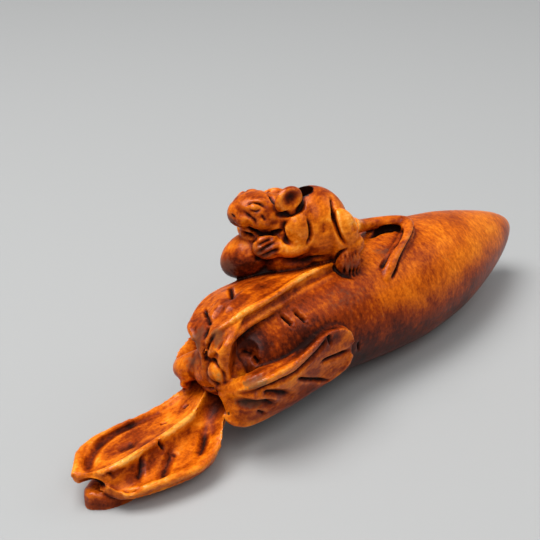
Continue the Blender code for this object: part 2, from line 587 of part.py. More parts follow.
def carve(skin):
    for half_width, depth, points in CROWN_CUTS + TAIL_CUTS + CROWN_SWELLS:
        spots = [skin.beside_root(x, a) for x, a in points]
        skin.cut(spots, half_width * across, depth * across)
    for half_width, depth, points in LEAF_CUTS:
        for shift, lower, side in ((0.0, 0.0, 1), (2.4, 12.0, -1)):
            spots = [skin.beside_root(x + shift, side * (a + lower)) for x, a in points]
            skin.cut(spots, half_width * across, depth * across)
    for half_width, depth, points in STEM_CUTS:
        skin.cut([skin.on_crown(y, z) for y, z in points], half_width * across, depth * across)
    for half_width, depth, points in FRONT_CUTS:
        skin.cut([skin.on_front(x, y) for x, y in points], half_width, depth)
    for half_width, depth, points in FRONT_SWELLS:
        skin.cut([skin.on_front(x, y) for x, y in points], half_width, depth, sharp=depth < 0)
    for half_width, depth, points in RAT_CUTS:
        for side in (1, -1):
            spots = [skin.nearest(rat(a, side * s, u)) for a, s, u in points]
            skin.cut(spots, half_width * rat_scale, depth * rat_scale)
    for side in (1, -1):
        ear_up = 6.6 if side > 0 else 6.6 - FAR_EAR_DROP
        skin.press(rat(3.65, 2.3 * side, ear_up), rat_axes, np.array([0.95, 0.9, 0.8]) * rat_scale,
                   rat_axes @ Vector((0, -0.75 * side, 0)) * rat_scale)
    # The notch between the two leaves at their tips.
    skin.press(front(13.3, 0.7, 2.1), Matrix.Identity(3), np.array([1.2, 1.3, 0.6]), Vector((0.9, 0, 0)))
    # The hollow between the upper leaf's stem and the root.
    skin.press(by_root(-20.9 * along, 46, 3.6 * across), Matrix.Identity(3), np.array([1.5, 1.3, 1.6]),
               Vector((0.6, 0.3, -0.3)))


def take_away(made, cutter):
    """Cuts one form out of another, and removes the cutter."""
    cut = made.modifiers.new("cut", "BOOLEAN")
    cut.operation = "DIFFERENCE"
    cut.solver = "EXACT"
    cut.object = cutter
    cutter.hide_render = True
    cutter.display_type = "WIRE"
    apply_modifiers(made)
    bpy.data.objects.remove(cutter)


def thin_out(made):
    """Brings the carving down to the solid's share of triangles."""
    mesh = made.data
    mesh.calc_loop_triangles()
    fewer = made.modifiers.new("fewer faces", "DECIMATE")
    fewer.ratio = SOLID_TRIANGLES / len(mesh.loop_triangles)
    apply_modifiers(made)


def box(name, low, high):
    shape = bmesh.new()
    size = Vector(high) - Vector(low)
    place = Matrix.Translation((Vector(low) + Vector(high)) / 2) @ Matrix.Diagonal((*size, 1.0))
    bmesh.ops.create_cube(shape, size=1.0, matrix=place)
    return made_from(name, shape)


def build():
    for old in list(bpy.data.objects):
        bpy.data.objects.remove(old)
    pieces = (root_form() + folded_leaf("upper leaf", UPPER_LEAF, 0.5, (1, 5))
              + folded_leaf("near leaf", NEAR_LEAF, 0.35, (5,)) + folded_leaf("far leaf", FAR_LEAF, 0.35, (1,))
              + front_leaf() + stem() + crown() + rat_body() + nut() + tail())
    carving = fuse(pieces, CARVING_VOXEL)
    skin = Skin(carving)
    carve(skin)
    skin.write()
    thin_out(carving)
    # The underside is pared flat, then the cord hole is drilled.
    take_away(carving, box("below", (-60 * along, -20 * across, -9), (60 * along, 20 * across, 0)))
    r = CORD_HOLE_DIAMETER / 2
    mouth = rat(2.0, -0.3, 9.0)
    foot = Vector((mouth.x, 0.0, -3.0))
    take_away(carving, loft("drill", [[end + Vector((r * math.cos(a), r * math.sin(a), 0))
                                       for a in (2 * math.pi * k / 24 for k in range(24))]
                                      for end in (foot, mouth)]))
    finish(carving)
    return carving


def finish(made):
    """Moves the underside's middle to the origin, scales to metres and gives the wood its colour."""
    mesh = made.data
    places = np.empty(len(mesh.vertices) * 3)
    mesh.vertices.foreach_get("co", places)
    places = places.reshape(-1, 3)
    low, high = places.min(axis=0), places.max(axis=0)
    middle = np.array([(low[0] + high[0]) / 2, (low[1] + high[1]) / 2, low[2]])
    mesh.vertices.foreach_set("co", ((places - middle) * MM).ravel())
    mesh.update()
    mesh.shade_smooth()
    mesh.set_sharp_from_angle(angle=math.radians(60))
    made.name = "carved_bead"
    mesh.name = "carved_bead"
    wood = bpy.data.materials.new("boxwood")
    wood.use_nodes = True
    surface = wood.node_tree.nodes["Principled BSDF"]
    surface.inputs["Base Color"].default_value = (0.42, 0.13, 0.025, 1.0)
    surface.inputs["Roughness"].default_value = 0.38
    surface.inputs["Metallic"].default_value = 0.0
    mesh.materials.clear()
    mesh.materials.append(wood)


carving = build()
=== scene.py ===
import math

import bmesh
import bpy
import numpy as np
from mathutils import Matrix, Vector
from mathutils.bvhtree import BVHTree


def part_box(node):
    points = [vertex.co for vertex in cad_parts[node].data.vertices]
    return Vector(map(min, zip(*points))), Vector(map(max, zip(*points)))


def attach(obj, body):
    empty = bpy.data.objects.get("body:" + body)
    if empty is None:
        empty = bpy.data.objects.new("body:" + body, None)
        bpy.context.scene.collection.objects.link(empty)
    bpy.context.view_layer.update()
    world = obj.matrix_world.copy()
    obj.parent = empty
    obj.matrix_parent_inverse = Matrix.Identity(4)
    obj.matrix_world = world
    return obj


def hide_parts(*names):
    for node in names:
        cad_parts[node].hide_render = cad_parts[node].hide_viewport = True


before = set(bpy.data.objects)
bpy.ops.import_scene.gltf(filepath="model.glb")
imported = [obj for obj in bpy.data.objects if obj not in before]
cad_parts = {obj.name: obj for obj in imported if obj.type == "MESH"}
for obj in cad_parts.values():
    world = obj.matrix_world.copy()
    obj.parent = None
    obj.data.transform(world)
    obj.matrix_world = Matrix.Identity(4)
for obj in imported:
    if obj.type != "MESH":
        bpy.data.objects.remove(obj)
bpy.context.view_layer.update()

# The bead is carved in millimetres on the carver's own axes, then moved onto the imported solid.
# x runs along the radish from its leaves to its tip, and the rat's nearer flank faces -y.

# How finely the forms are made before they are fused.
fineness = {
    "alongTube": 8,
    "roundTube": 18,
    "ballRings": 22,
    "alongRoot": 8,
    "roundRoot": 96,
    "alongLeaf": 8,
    "acrossLeaf": 12,
    "alongLowLeaf": 6,
    "roundLowLeaf": 32,
    "alongStem": 6,
    "acrossStem": 20,
    "alongStroke": 6,
}


def smoothRows(rows, steps):
    # Catmull-Rom curve through rows of numbers
    rows = np.array(rows, float)
    padded = np.vstack([2 * rows[0] - rows[1], rows, 2 * rows[-1] - rows[-2]])
    found = []
    for i in range(len(rows) - 1):
        a, b, c, d = padded[i:i + 4]
        for k in range(steps):
            t = k / steps
            found.append(0.5 * (2 * b + (c - a) * t + (2 * a - 5 * b + 4 * c - d) * t * t
                                + (3 * b - a - 3 * c + d) * t ** 3))
    found.append(rows[-1])
    return np.array(found)


def madeFrom(name, shape):
    mesh = bpy.data.meshes.new(name)
    shape.to_mesh(mesh)
    shape.free()
    made = bpy.data.objects.new(name, mesh)
    bpy.context.scene.collection.objects.link(made)
    return made


def loft(name, rings):
    shape = bmesh.new()
    grid = [[shape.verts.new(p) for p in ring] for ring in rings]
    count = len(grid[0])
    for a, b in zip(grid, grid[1:]):
        for i in range(count):
            j = (i + 1) % count
            shape.faces.new((a[i], a[j], b[j], b[i]))
    shape.faces.new(list(reversed(grid[0])))
    shape.faces.new(grid[-1])
    bmesh.ops.recalc_face_normals(shape, faces=shape.faces)
    return madeFrom(name, shape)


def roundAngles(count):
    return [2 * math.pi * k / count for k in range(count)]


def tube(name, points, radii):
    rows = smoothRows([tuple(p) + (r,) for p, r in zip(points, radii)], fineness["alongTube"])
    path = [Vector(row[:3]) for row in rows]
    rings = []
    for i, centre in enumerate(path):
        ahead = (path[min(i + 1, len(path) - 1)] - path[max(i - 1, 0)]).normalized()
        side = ahead.cross(Vector((0, 0, 1)))
        side = side.normalized() if side.length > 1e-6 else Vector((1, 0, 0))
        top = side.cross(ahead).normalized()
        r = max(float(rows[i][3]), 0.02)
        rings.append([centre + side * r * math.cos(a) + top * r * math.sin(a)
                      for a in roundAngles(fineness["roundTube"])])
    return loft(name, rings)


def ball(name, centre, radii, turn=Matrix.Identity(3)):
    rings = fineness["ballRings"]
    shape = bmesh.new()
    bmesh.ops.create_uvsphere(shape, u_segments=2 * rings, v_segments=rings, radius=1.0)
    place = Matrix.Translation(centre) @ turn.to_4x4() @ Matrix.Diagonal((*radii, 1.0))
    bmesh.ops.transform(shape, matrix=place, verts=shape.verts)
    return madeFrom(name, shape)


# The radish root. Its outline gives the distance along the axis and the radius.
root = {
    "tilt": 3.0,  # degrees, the crown sits higher than the tip
    "tipRise": 0.5,  # the tip bends up by this much
    "bend": (3.0, 18.0),  # where it starts to bend, and over what length
    "bellyFlat": 0.12,
    "outline": [
        (-21.0, 1.6), (-20.4, 2.7), (-19.2, 3.8), (-16.5, 4.6), (-13.0, 4.85), (-8.4, 5.0), (0.0, 5.6),
        (4.5, 5.5), (9.0, 4.95), (14.0, 3.7), (17.5, 2.5), (19.8, 1.4), (20.7, 0.7), (21.0, 0.1),
    ],
}
rootCurve = smoothRows(root["outline"], fineness["alongRoot"])
tilt = math.radians(root["tilt"])
lowestPoint = max(r * math.cos(tilt) + x * math.sin(tilt) for x, r in rootCurve)
axisHeight = lowestPoint - root["bellyFlat"]


def rootRadius(x):
    return float(np.interp(x, rootCurve[:, 0], rootCurve[:, 1]))


def tipRise(x):
    start, length = root["bend"]
    return root["tipRise"] * np.clip((x - start) / length, 0.0, 1.0) ** 2


def byRoot(x, angle, radius):
    # angle 0 is up and 90 faces the nearer side
    turn = math.radians(angle)
    y, z = -radius * math.sin(turn), radius * math.cos(turn) + float(tipRise(x))
    return Vector((x * math.cos(tilt) + z * math.sin(tilt), y,
                   axisHeight - x * math.sin(tilt) + z * math.cos(tilt)))


def onRoot(x, angle, lift=0.0):
    return byRoot(x, angle, rootRadius(x) + lift)


def rootForm():
    sides = fineness["roundRoot"]
    return [loft("root", [[byRoot(x, 360 * k / sides, r) for k in range(sides)] for x, r in rootCurve])]


def leafSection(far, rib, near, trough, lean=1.0, farTrough=None):
    # points across a leaf, from its far edge over the rib to its near edge
    # a lean under 1 digs the near half close to the rib
    points = fineness["acrossLeaf"]
    found = []
    for k in range(2 * points + 1):
        w = k / points
        start, end = (far, rib) if w <= 1 else (rib, near)
        part = w if w <= 1 else w - 1
        dug = trough if w > 1 or farTrough is None else farTrough
        sag = dug * math.sin(math.pi * (part if w <= 1 else part ** lean)) ** 0.8
        found.append(start + (end - start) * part - np.array([0.0, sag]))
    return found


# The leaves folded back along the root.
# Each row is x, then angle and radius of the far edge, rib and near edge.
foldedLeaves = {
    "thickness": 1.3,
    "inner": 3.6,  # the underside's radius
    "deepest": 2.2,  # the walls' depth, in thicknesses
    "leanIn": (0.9, 0.6),  # how far the far and near walls lean in
    "edge": 0.3,
    # rounded tells which columns of a row are edges with a roll along them
    "upper": {
        "trough": 0.5,
        "rounded": (1, 5),
        "rows": [
            (-23.0, -16, 3.4, 8, 3.8, 29, 3.5),
            (-22.4, -29, 4.2, 14, 4.7, 31, 4.2),
            (-21.4, -37, 4.6, 17, 5.2, 27, 4.6),
            (-19.8, -42, 5.35, 18, 5.65, 24, 4.9),
            (-18.0, -44, 5.85, 18, 5.85, 22.5, 5.0),
            (-15.5, -45.5, 6.0, 15.5, 5.8, 20, 5.0),
            (-12.8, -45, 5.95, 12, 5.8, 16.5, 5.0),
            (-9.5, -38, 5.4, 10, 5.75, 16, 5.05),
            (-6.5, -24, 5.3, 8, 5.5, 12, 5.1),
        ],
    },
    "near": {
        "trough": 0.35,
        "rounded": (5,),
        "rows": [
            (-22.9, 98, 1.9, 104, 2.3, 137, 3.7),
            (-22.5, 85, 3.0, 90, 3.5, 135, 4.5),
            (-21.7, 75, 4.3, 80, 4.9, 133, 5.1),
            (-20.4, 72, 4.8, 76, 5.55, 133, 5.3),
            (-18.5, 71.5, 4.8, 75, 5.7, 133, 5.35),
            (-16.5, 68, 4.8, 71, 5.75, 129, 5.35),
            (-14.1, 62, 4.9, 65, 5.8, 122, 5.3),
            (-12.2, 62, 5.1, 66, 5.75, 116, 5.45),
            (-11.0, 68, 5.2, 72, 5.7, 108, 5.5),
            (-10.4, 78, 5.2, 84, 5.55, 98, 5.4),
        ],
    },
    "far": {
        "trough": 0.35,
        "rounded": (1,),
        "rows": [
            (-22.8, -124, 3.2, -110, 3.6, -96, 3.2),
            (-22.1, -128, 3.8, -108, 4.25, -90, 3.95),
            (-20.6, -130, 4.35, -102, 4.95, -84, 4.55),
            (-18.0, -132, 5.0, -96, 5.4, -80, 4.9),
            (-13.0, -124, 5.3, -88, 5.6, -74, 5.1),
            (-9.2, -110, 5.3, -90, 5.5, -80, 5.1),
            (-8.2, -98, 5.3, -92, 5.4, -86, 5.2),
        ],
    },
}


def foldedLeaf(which):
    leaf = foldedLeaves[which]
    rows = leaf["rows"]
    thick, deepest = foldedLeaves["thickness"], foldedLeaves["deepest"]
    rings = []
    for x, fa, fr, ra, rr, na, nr in smoothRows(rows, fineness["alongLeaf"]):
        top = leafSection(np.array([fa, fr]), np.array([ra, rr]), np.array([na, nr]), leaf["trough"])
        under = [(ra + (a - ra) * foldedLeaves["leanIn"][int(a > ra)],
                  max(min(foldedLeaves["inner"], r - thick), r - deepest * thick)) for a, r in reversed(top)]
        rings.append([byRoot(x, a, r) for a, r in [*top, *under]])
    r = foldedLeaves["edge"]
    edges = [tube("leaf edge", [byRoot(row[0], row[k], row[k + 1] - 0.9 * r) for row in rows],
                  [0.6 * r] + [r] * (len(rows) - 1)) for k in leaf["rounded"]]
    return [loft(which + " leaf", rings), *edges]


# Two leaves point forward from the crown, one on the other.
frontLeaves = {
    "crown": -21.0,
    "trough": 1.0,
    "farTrough": 0.5,
    "lean": 0.55,
    # the troughs run out and the leaf thins between two distances ahead of the crown
    "runOut": ((12.0, 13.2), (1.0, 0.1)),
    "depth": ((10.0, 11.8), (1.6, 0.8)),
    "edge": 0.3,
    # name, the column of its y, how far in it lies, and its first and last row
    "edges": [("far edge", 1, -1.0, 1, None), ("near edge", 5, 0.8, 2, -4)],
    # ahead of the crown, then y and height of the far edge, rib and near edge
    "top": [
        (-0.5, 2.6, 5.0, 0.9, 6.0, -1.4, 5.0),
        (1.5, 3.3, 4.0, 0.3, 4.9, -2.0, 3.8),
        (3.2, 3.6, 3.5, -0.1, 4.1, -3.2, 2.8),
        (5.5, 3.85, 3.4, -0.3, 3.9, -3.75, 2.25),
        (8.0, 4.1, 3.5, -0.4, 3.8, -3.3, 2.2),
        (10.5, 4.2, 3.4, -0.4, 3.7, -2.35, 2.05),
        (11.8, 3.95, 3.25, -0.2, 3.5, -1.5, 1.9),
        (12.3, 3.5, 3.3, 0.1, 3.3, -0.7, 2.15),
        (12.8, 3.05, 3.25, 0.9, 3.1, 0.5, 2.6),
        (13.3, 2.6, 3.2, 1.5, 3.05, 1.3, 2.8),
        (13.8, 2.2, 3.1, 1.8, 3.0, 1.6, 2.85),
    ],
    # ahead of the crown, y of the two edges, then the top and the underside
    "below": [
        (0.5, 1.6, -0.8, 3.6, 1.9),
        (4.0, 2.4, -1.4, 2.4, 1.2),
        (8.0, 2.9, -1.4, 2.0, 0.6),
        (10.3, 2.9, -1.0, 1.5, -0.2),
        (11.7, 2.6, -0.6, 1.4, -0.4),
        (12.6, 2.2, -0.2, 1.4, -0.4),
        (13.1, 1.8, 0.3, 1.5, -0.3),
        (13.5, 1.3, 0.7, 1.3, 0.0),
    ],
}


def onLeaf(ahead, y, z):
    return Vector((frontLeaves["crown"] - ahead, y, z))


def frontLeaf():
    rings = []
    for x, fy, fz, ry, rz, ny, nz in smoothRows(frontLeaves["top"], fineness["alongLeaf"]):
        share = float(np.interp(x, *frontLeaves["runOut"]))
        top = leafSection(np.array([fy, fz]), np.array([ry, rz]), np.array([ny, nz]),
                          frontLeaves["trough"] * share, frontLeaves["lean"],
                          frontLeaves["farTrough"] * share)
        depth = float(np.interp(x, *frontLeaves["depth"]))
        under = [(y * 0.85 + ry * 0.15, max(z - depth, 1.0)) for y, z in reversed(top)]
        rings.append([onLeaf(x, y, z) for y, z in [*top, *under]])
    # the two edges are rounded
    r = frontLeaves["edge"]
    edges = []
    for name, k, inward, first, last in frontLeaves["edges"]:
        rows = frontLeaves["top"][first:last]
        path = [onLeaf(row[0], row[k] + inward * r, row[k + 1] - 1.1 * r) for row in rows]
        edges.append(tube(name, path, [r] * len(rows)))
    lowRings = []
    for x, fy, ny, top, under in smoothRows(frontLeaves["below"], fineness["alongLowLeaf"]):
        ring = []
        for a in roundAngles(fineness["roundLowLeaf"]):
            # a rounded oblong
            c, s = math.cos(a), math.sin(a)
            ring.append(onLeaf(x, (fy + ny) / 2 + (fy - ny) / 2 * math.copysign(abs(c) ** 0.6, c),
                               (top + under) / 2 + (top - under) / 2 * math.copysign(abs(s) ** 0.6, s)))
        lowRings.append(ring)
    return [loft("front leaf", rings), loft("lower leaf", lowRings), *edges]


# The stem of the upper leaf runs down the crown's face to the knob, with a rib along each side of a flat.
crown = {
    "thickness": 1.4,
    # share of the width from the far edge, and how far it stands out
    "relief": [
        (0.0, -0.5), (0.14, -0.1), (0.27, 0.2), (0.37, -0.35), (0.5, -0.1), (0.68, -0.15), (0.86, 0.3),
        (1.0, -0.4),
    ],
    # height, x, and y of the far and near edges
    "stem": [
        (11.9, -19.9, 1.6, -1.6),
        (11.2, -21.3, 1.5, -2.1),
        (10.2, -22.4, 1.2, -2.4),
        (9.0, -22.7, 1.0, -2.45),
        (8.0, -22.7, 0.9, -2.4),
        (7.0, -22.5, 1.0, -2.35),
        (6.0, -22.1, 1.2, -2.2),
        (5.0, -21.8, 1.5, -1.9),
    ],
    "knob": {"radius": 0.95, "centre": (-22.55, -1.25, 7.7), "shape": (0.7, 0.85, 0.85)},
    "heart": {"centre": (-20.9, 0, 0), "radii": (2.0, 2.6, 2.2)},
    # points by the root, and their radii
    "stalks": [
        ("near stalk", [(-20.9, 90, 1.0), (-21.7, 100, 2.2), (-22.0, 104, 3.2)], [1.4, 0.9, 0.6]),
        ("far stalk", [(-20.8, -80, 1.0), (-22.0, -100, 2.5), (-21.9, -106, 3.6)], [1.4, 1.1, 0.8]),
    ],
}


def crownForms():
    shares, heights = np.array(crown["relief"]).T
    count = fineness["acrossStem"]
    across = [k / count for k in range(count + 1)]
    rings = []
    for z, x, far, near in smoothRows(crown["stem"], fineness["alongStem"]):
        front = [Vector((x - float(np.interp(w, shares, heights)), far + (near - far) * w, z))
                 for w in across]
        # the back is narrower than the front
        back = [Vector((p.x + crown["thickness"], p.y * 0.6 + (far + near) * 0.2, z))
                for p in reversed(front)]
        rings.append(front + back)
    knob, heart = crown["knob"], crown["heart"]
    return [
        loft("stem", rings),
        ball("knob", Vector(knob["centre"]), [knob["radius"] * share for share in knob["shape"]]),
        ball("crown", byRoot(*heart["centre"]), heart["radii"]),
        *[tube(name, [byRoot(*p) for p in points], radii) for name, points, radii in crown["stalks"]],
    ]


# The rat. Points are ahead of its seat, towards its nearer flank, and up.
rat = {
    "turn": 28.0,
    "seat": (-6.5, 1.5),
    "body": [
        ("trunk", (1.0, 0, 2.9), (3.2, 2.9, 3.6), 10),
        ("shoulders", (2.6, 0, 3.2), (2.6, 2.9, 3.1), 0),
        ("rump", (-0.9, 0, 1.5), (2.2, 2.7, 2.5), 0),
        ("neck", (4.3, 0, 4.2), (2.3, 2.1, 2.1), 0),
        ("skull", (5.85, 0, 5.2), (2.4, 1.9, 1.55), -8),
        ("snout", (7.2, 0, 5.1), (1.35, 1.25, 1.25), 0),
        ("throat", (5.6, 0, 3.6), (1.9, 1.6, 2.0), 0),
        ("belly", (3.4, 0, 0.8), (3.0, 2.6, 2.2), 0),
    ],
    # one of each per flank
    "sides": [
        ("haunch", (-0.9, 1.9, 2.5), (1.6, 1.3, 2.6), 10),
        ("shin", (-1.4, 2.1, 1.5), (1.6, 1.1, 1.4), 0),
        ("hind foot", (-1.2, 2.9, 0.35), (1.15, 0.75, 1.4), 0),
        ("upper arm", (3.3, 1.75, 3.9), (1.4, 1.45, 1.85), 14),
        ("paw", (5.7, 2.0, 2.6), (1.4, 0.8, 1.15), -20),
        ("cheek", (5.7, 1.0, 4.9), (1.5, 1.1, 1.1), 0),
        ("whisker pad", (7.4, 0.75, 4.9), (0.8, 0.75, 0.75), 0),
        ("brow", (6.5, 1.0, 6.2), (1.0, 0.5, 0.4), 14),
        ("eye", (6.75, 1.3, 6.1), (0.4, 0.4, 0.3), 0),
    ],
    # points, and their radii
    "forearm": ([(2.6, 2.1, 2.5), (3.8, 2.35, 2.3), (5.0, 2.25, 2.6)], [0.85, 0.8, 0.75]),
    "ear": {"centre": (3.75, 1.6, 6.4), "radii": (1.4, 0.6, 1.2), "yaw": 18},
    "earHollow": {"centre": (3.65, 2.3, 6.6), "radii": (1.1, 0.9, 0.95), "push": 0.52, "stain": 0.4},
    "earDrop": 1.4,  # the farther ear lies lower
}
ratTurn = math.radians(rat["turn"])
ratAhead = Vector((-math.cos(ratTurn), math.sin(ratTurn), 0))
ratSide = Vector((-math.sin(ratTurn), -math.cos(ratTurn), 0))
ratAxes = Matrix((ratAhead, ratSide, Vector((0, 0, 1)))).transposed()
ratSeat = Vector((*rat["seat"], onRoot(rat["seat"][0], 0).z))


def onRat(ahead, side, up):
    return ratSeat + ratAxes @ Vector((ahead, side, up))


def ratBall(name, centre, radii, pitch=0.0, yaw=0.0):
    turn = ratAxes @ Matrix.Rotation(math.radians(yaw), 3, "Z") @ Matrix.Rotation(math.radians(pitch), 3, "Y")
    return ball(name, onRat(*centre), radii, turn)


def onFlank(point, side):
    return point[0], point[1] * side, point[2]


def atEar(point, side):
    ahead, out, up = onFlank(point, side)
    return ahead, out, up if side > 0 else up - rat["earDrop"]


def ratForms():
    made = [ratBall(*piece) for piece in rat["body"]]
    path, breadth = rat["forearm"]
    ear = rat["ear"]
    for side in (1, -1):
        for name, centre, radii, pitch in rat["sides"]:
            made.append(ratBall(name, onFlank(centre, side), radii, pitch))
        made.append(tube("forearm", [onRat(*onFlank(p, side)) for p in path], breadth))
        made.append(ratBall("ear", atEar(ear["centre"], side), ear["radii"], yaw=ear["yaw"] * side))
    return made


# The nut under its chin, and the lump that carries it.
nut = {
    "radius": 2.15,
    "centre": (6.9, 0, 1.2),
    "shape": (1.15, 0.92, 0.8),
    "pitch": 31,
    "seat": (5.6, 0, -0.4),
    "seatShape": (1.0, 0.9, 0.75),
}


def nutForms():
    r = nut["radius"]
    return [ball("nut", onRat(*nut["centre"]), [r * share for share in nut["shape"]],
                 ratAxes @ Matrix.Rotation(math.radians(nut["pitch"]), 3, "Y")),
            ball("nut seat", onRat(*nut["seat"]), [r * share for share in nut["seatShape"]], ratAxes)]


# The tail lies along the root and turns back on itself.
tail = {
    "half": 0.6,
    # distance along the root, angle, and lift over its skin
    "path": [
        (-3.8, -6, 1.9), (-1.9, -12, 1.1), (-0.4, -13, 0.75), (0.9, -9, 0.55), (1.8, -4, 0.45),
        (2.5, 2, 0.35), (2.3, 8.5, 0.3), (1.4, 15, 0.2), (0.0, 21.5, 0.1), (-1.2, 26, 0.05),
        (-2.3, 30.5, 0.0), (-3.2, 36, -0.1), (-4.1, 42, -0.3), (-4.8, 47, -0.6),
    ],
    "breadth": [1.3, 1.05, 0.95, 0.95, 1, 1.1, 1.15, 1.1, 1, 1, 1, 1, 0.9, 0.6],
}


def tailForm():
    return [tube("tail", [onRoot(*p) for p in tail["path"]], [tail["half"] * b for b in tail["breadth"]])]


# How the joined forms become one skin.
carving = {"voxel": 0.125, "soften": 3, "softenBy": 0.5, "triangles": 188000, "sharpFrom": 55}


def applyModifiers(made):
    depsgraph = bpy.context.evaluated_depsgraph_get()
    mesh = bpy.data.meshes.new_from_object(made.evaluated_get(depsgraph))
    made.modifiers.clear()
    old = made.data
    made.data = mesh
    bpy.data.meshes.remove(old)


def keepOutside(made):
    # the joined forms shut in small hollows, and only the outermost skin stays
    shape = bmesh.new()
    shape.from_mesh(made.data)
    left = set(shape.verts)
    shells = []
    while left:
        shell, queue = set(), [left.pop()]
        while queue:
            spot = queue.pop()
            shell.add(spot)
            for edge in spot.link_edges:
                other = edge.other_vert(spot)
                if other in left:
                    left.discard(other)
                    queue.append(other)
        shells.append(shell)
    for shell in sorted(shells, key=len)[:-1]:
        bmesh.ops.delete(shape, geom=list(shell), context="VERTS")
    shape.to_mesh(made.data)
    shape.free()


def thinOut(made):
    # fewer triangles where the surface is plain
    shape = bmesh.new()
    shape.from_mesh(made.data)
    bmesh.ops.triangulate(shape, faces=shape.faces)
    shape.to_mesh(made.data)
    shape.free()
    thin = made.modifiers.new("thin out", "DECIMATE")
    thin.ratio = min(1.0, carving["triangles"] / len(made.data.polygons))
    applyModifiers(made)
    print("thinned to", len(made.data.polygons), "triangles")


def fuse(pieces):
    shape = bmesh.new()
    for piece in pieces:
        shape.from_mesh(piece.data)
        bpy.data.meshes.remove(piece.data)
    made = madeFrom("carvedBeadWood", shape)
    remesh = made.modifiers.new("one skin", "REMESH")
    remesh.mode = "VOXEL"
    remesh.voxel_size = carving["voxel"]
    soften = made.modifiers.new("soften", "SMOOTH")
    soften.factor = carving["softenBy"]
    soften.iterations = carving["soften"]
    applyModifiers(made)
    keepOutside(made)
    return made


def readVectors(mesh, name):
    values = np.empty(len(mesh.vertices) * 3)
    mesh.vertices.foreach_get(name, values)
    return values.reshape(-1, 3)


# Where the gouge is aimed from to find the surface, where it looks if it misses, and how its marks fade.
gouge = {
    "outsideRoot": 9.5,
    "underSkin": 4.5,
    "aboveLeaf": 12.0,
    "leafHeight": 3.0,
    "beforeCrown": -27.5,
    "crownFace": -23.0,
    "endDepth": 0.25,  # a stroke's share of its depth at its ends
    "fadeRate": 4.0,
    "pressFalloff": 1.5,
}


class Skin:
    # the carving's surface, which the gouge strokes push in and darken with stain and painted shade
    def __init__(self, made):
        self.made = made
        self.places = readVectors(made.data, "co")
        self.facing = readVectors(made.data, "normal")
        # the darkening holds both stain and painted shade, and the lightening is painted light
        self.stain, self.dust, self.light = np.zeros((3, len(self.places)))
        self.tree = BVHTree.FromObject(made, bpy.context.evaluated_depsgraph_get())

    def besideRoot(self, x, angle):
        start = byRoot(x, angle, gouge["outsideRoot"])
        place, normal = self.tree.ray_cast(start, byRoot(x, angle, 0.0) - start)[:2]
        return self.nearest(byRoot(x, angle, gouge["underSkin"])) if place is None else (place, normal)

    def onFront(self, ahead, y):
        start = onLeaf(ahead, y, gouge["aboveLeaf"])
        place, normal = self.tree.ray_cast(start, Vector((0, 0, -1)))[:2]
        return self.nearest(onLeaf(ahead, y, gouge["leafHeight"])) if place is None else (place, normal)

    def onCrown(self, y, height):
        start = Vector((gouge["beforeCrown"], y, height))
        place, normal = self.tree.ray_cast(start, Vector((1, 0, 0)))[:2]
        return self.nearest(Vector((gouge["crownFace"], y, height))) if place is None else (place, normal)

    def nearest(self, point):
        return self.tree.find_nearest(point)[:2]

    def spots(self, where, points):
        # strokes on the side leaves and on the rat have a copy on the far side
        if where == "onSideLeaves":
            return [[self.besideRoot(x + shift, side * (a + lower)) for x, a in points]
                    for shift, lower, side in strokeCopies]
        if where == "onRat":
            return [[self.nearest(onRat(*onFlank(point, side))) for point in points] for side in (1, -1)]
        reach = {"besideRoot": self.besideRoot, "onFront": self.onFront, "onCrown": self.onCrown}[where]
        return [[reach(*point) for point in points]]

    def cut(self, spots, halfWidth, depth, sharp, stain):
        # a stroke fades out at both ends, and a minus depth raises the surface
        rows = smoothRows([(*place, *normal) for place, normal in spots], fineness["alongStroke"])
        path, normals = rows[:, :3], rows[:, 3:]
        low, high = path.min(axis=0) - halfWidth, path.max(axis=0) + halfWidth
        near = np.flatnonzero(np.all((self.places > low) & (self.places < high), axis=1))
        if not len(near):
            return
        points = self.places[near]
        start, step = path[:-1], np.diff(path, axis=0)
        length = np.maximum((step ** 2).sum(axis=1), 1e-12)
        part = np.clip(((points[:, None] - start) * step).sum(axis=2) / length, 0.0, 1.0)
        gaps = np.linalg.norm(points[:, None] - start - part[:, :, None] * step, axis=2)
        best = gaps.argmin(axis=1)
        rowsAt = np.arange(len(near))
        gap = gaps[rowsAt, best] / halfWidth
        run = (best + part[rowsAt, best]) / len(step)
        facesIt = (self.facing[near] * normals[best]).sum(axis=1) > 0.0
        fade = np.clip(np.minimum(run, 1.0 - run) * gouge["fadeRate"] + gouge["endDepth"], 0.0, 1.0)
        profile = np.clip(1.0 - gap, 0.0, 1.0) if sharp else np.clip(1.0 - gap ** 2, 0.0, 1.0) ** 2
        share = profile * fade * facesIt
        self.places[near] -= self.facing[near] * (share * depth)[:, None]
        self.stain[near] = np.maximum(self.stain[near], share * stain)

    def press(self, centre, axes, radii, push, stain):
        share = self.share(centre, axes, radii) ** gouge["pressFalloff"]
        self.places += np.array(push) * share[:, None]
        self.stain = np.maximum(self.stain, share * stain)

    def share(self, centre, axes, radii):
        # how much of a patch each point of the surface takes
        local = (self.places - np.array(centre)) @ np.array(axes) / np.array(radii)
        return np.clip(1.0 - (local ** 2).sum(axis=1), 0.0, 1.0)

    def write(self):
        self.made.data.vertices.foreach_set("co", self.places.ravel())
        self.made.data.update()


# The far leaf's strokes are shifted along the root and lie lower.
strokeCopies = [(0.0, 0.0, 1), (1.4, 12.0, -1)]
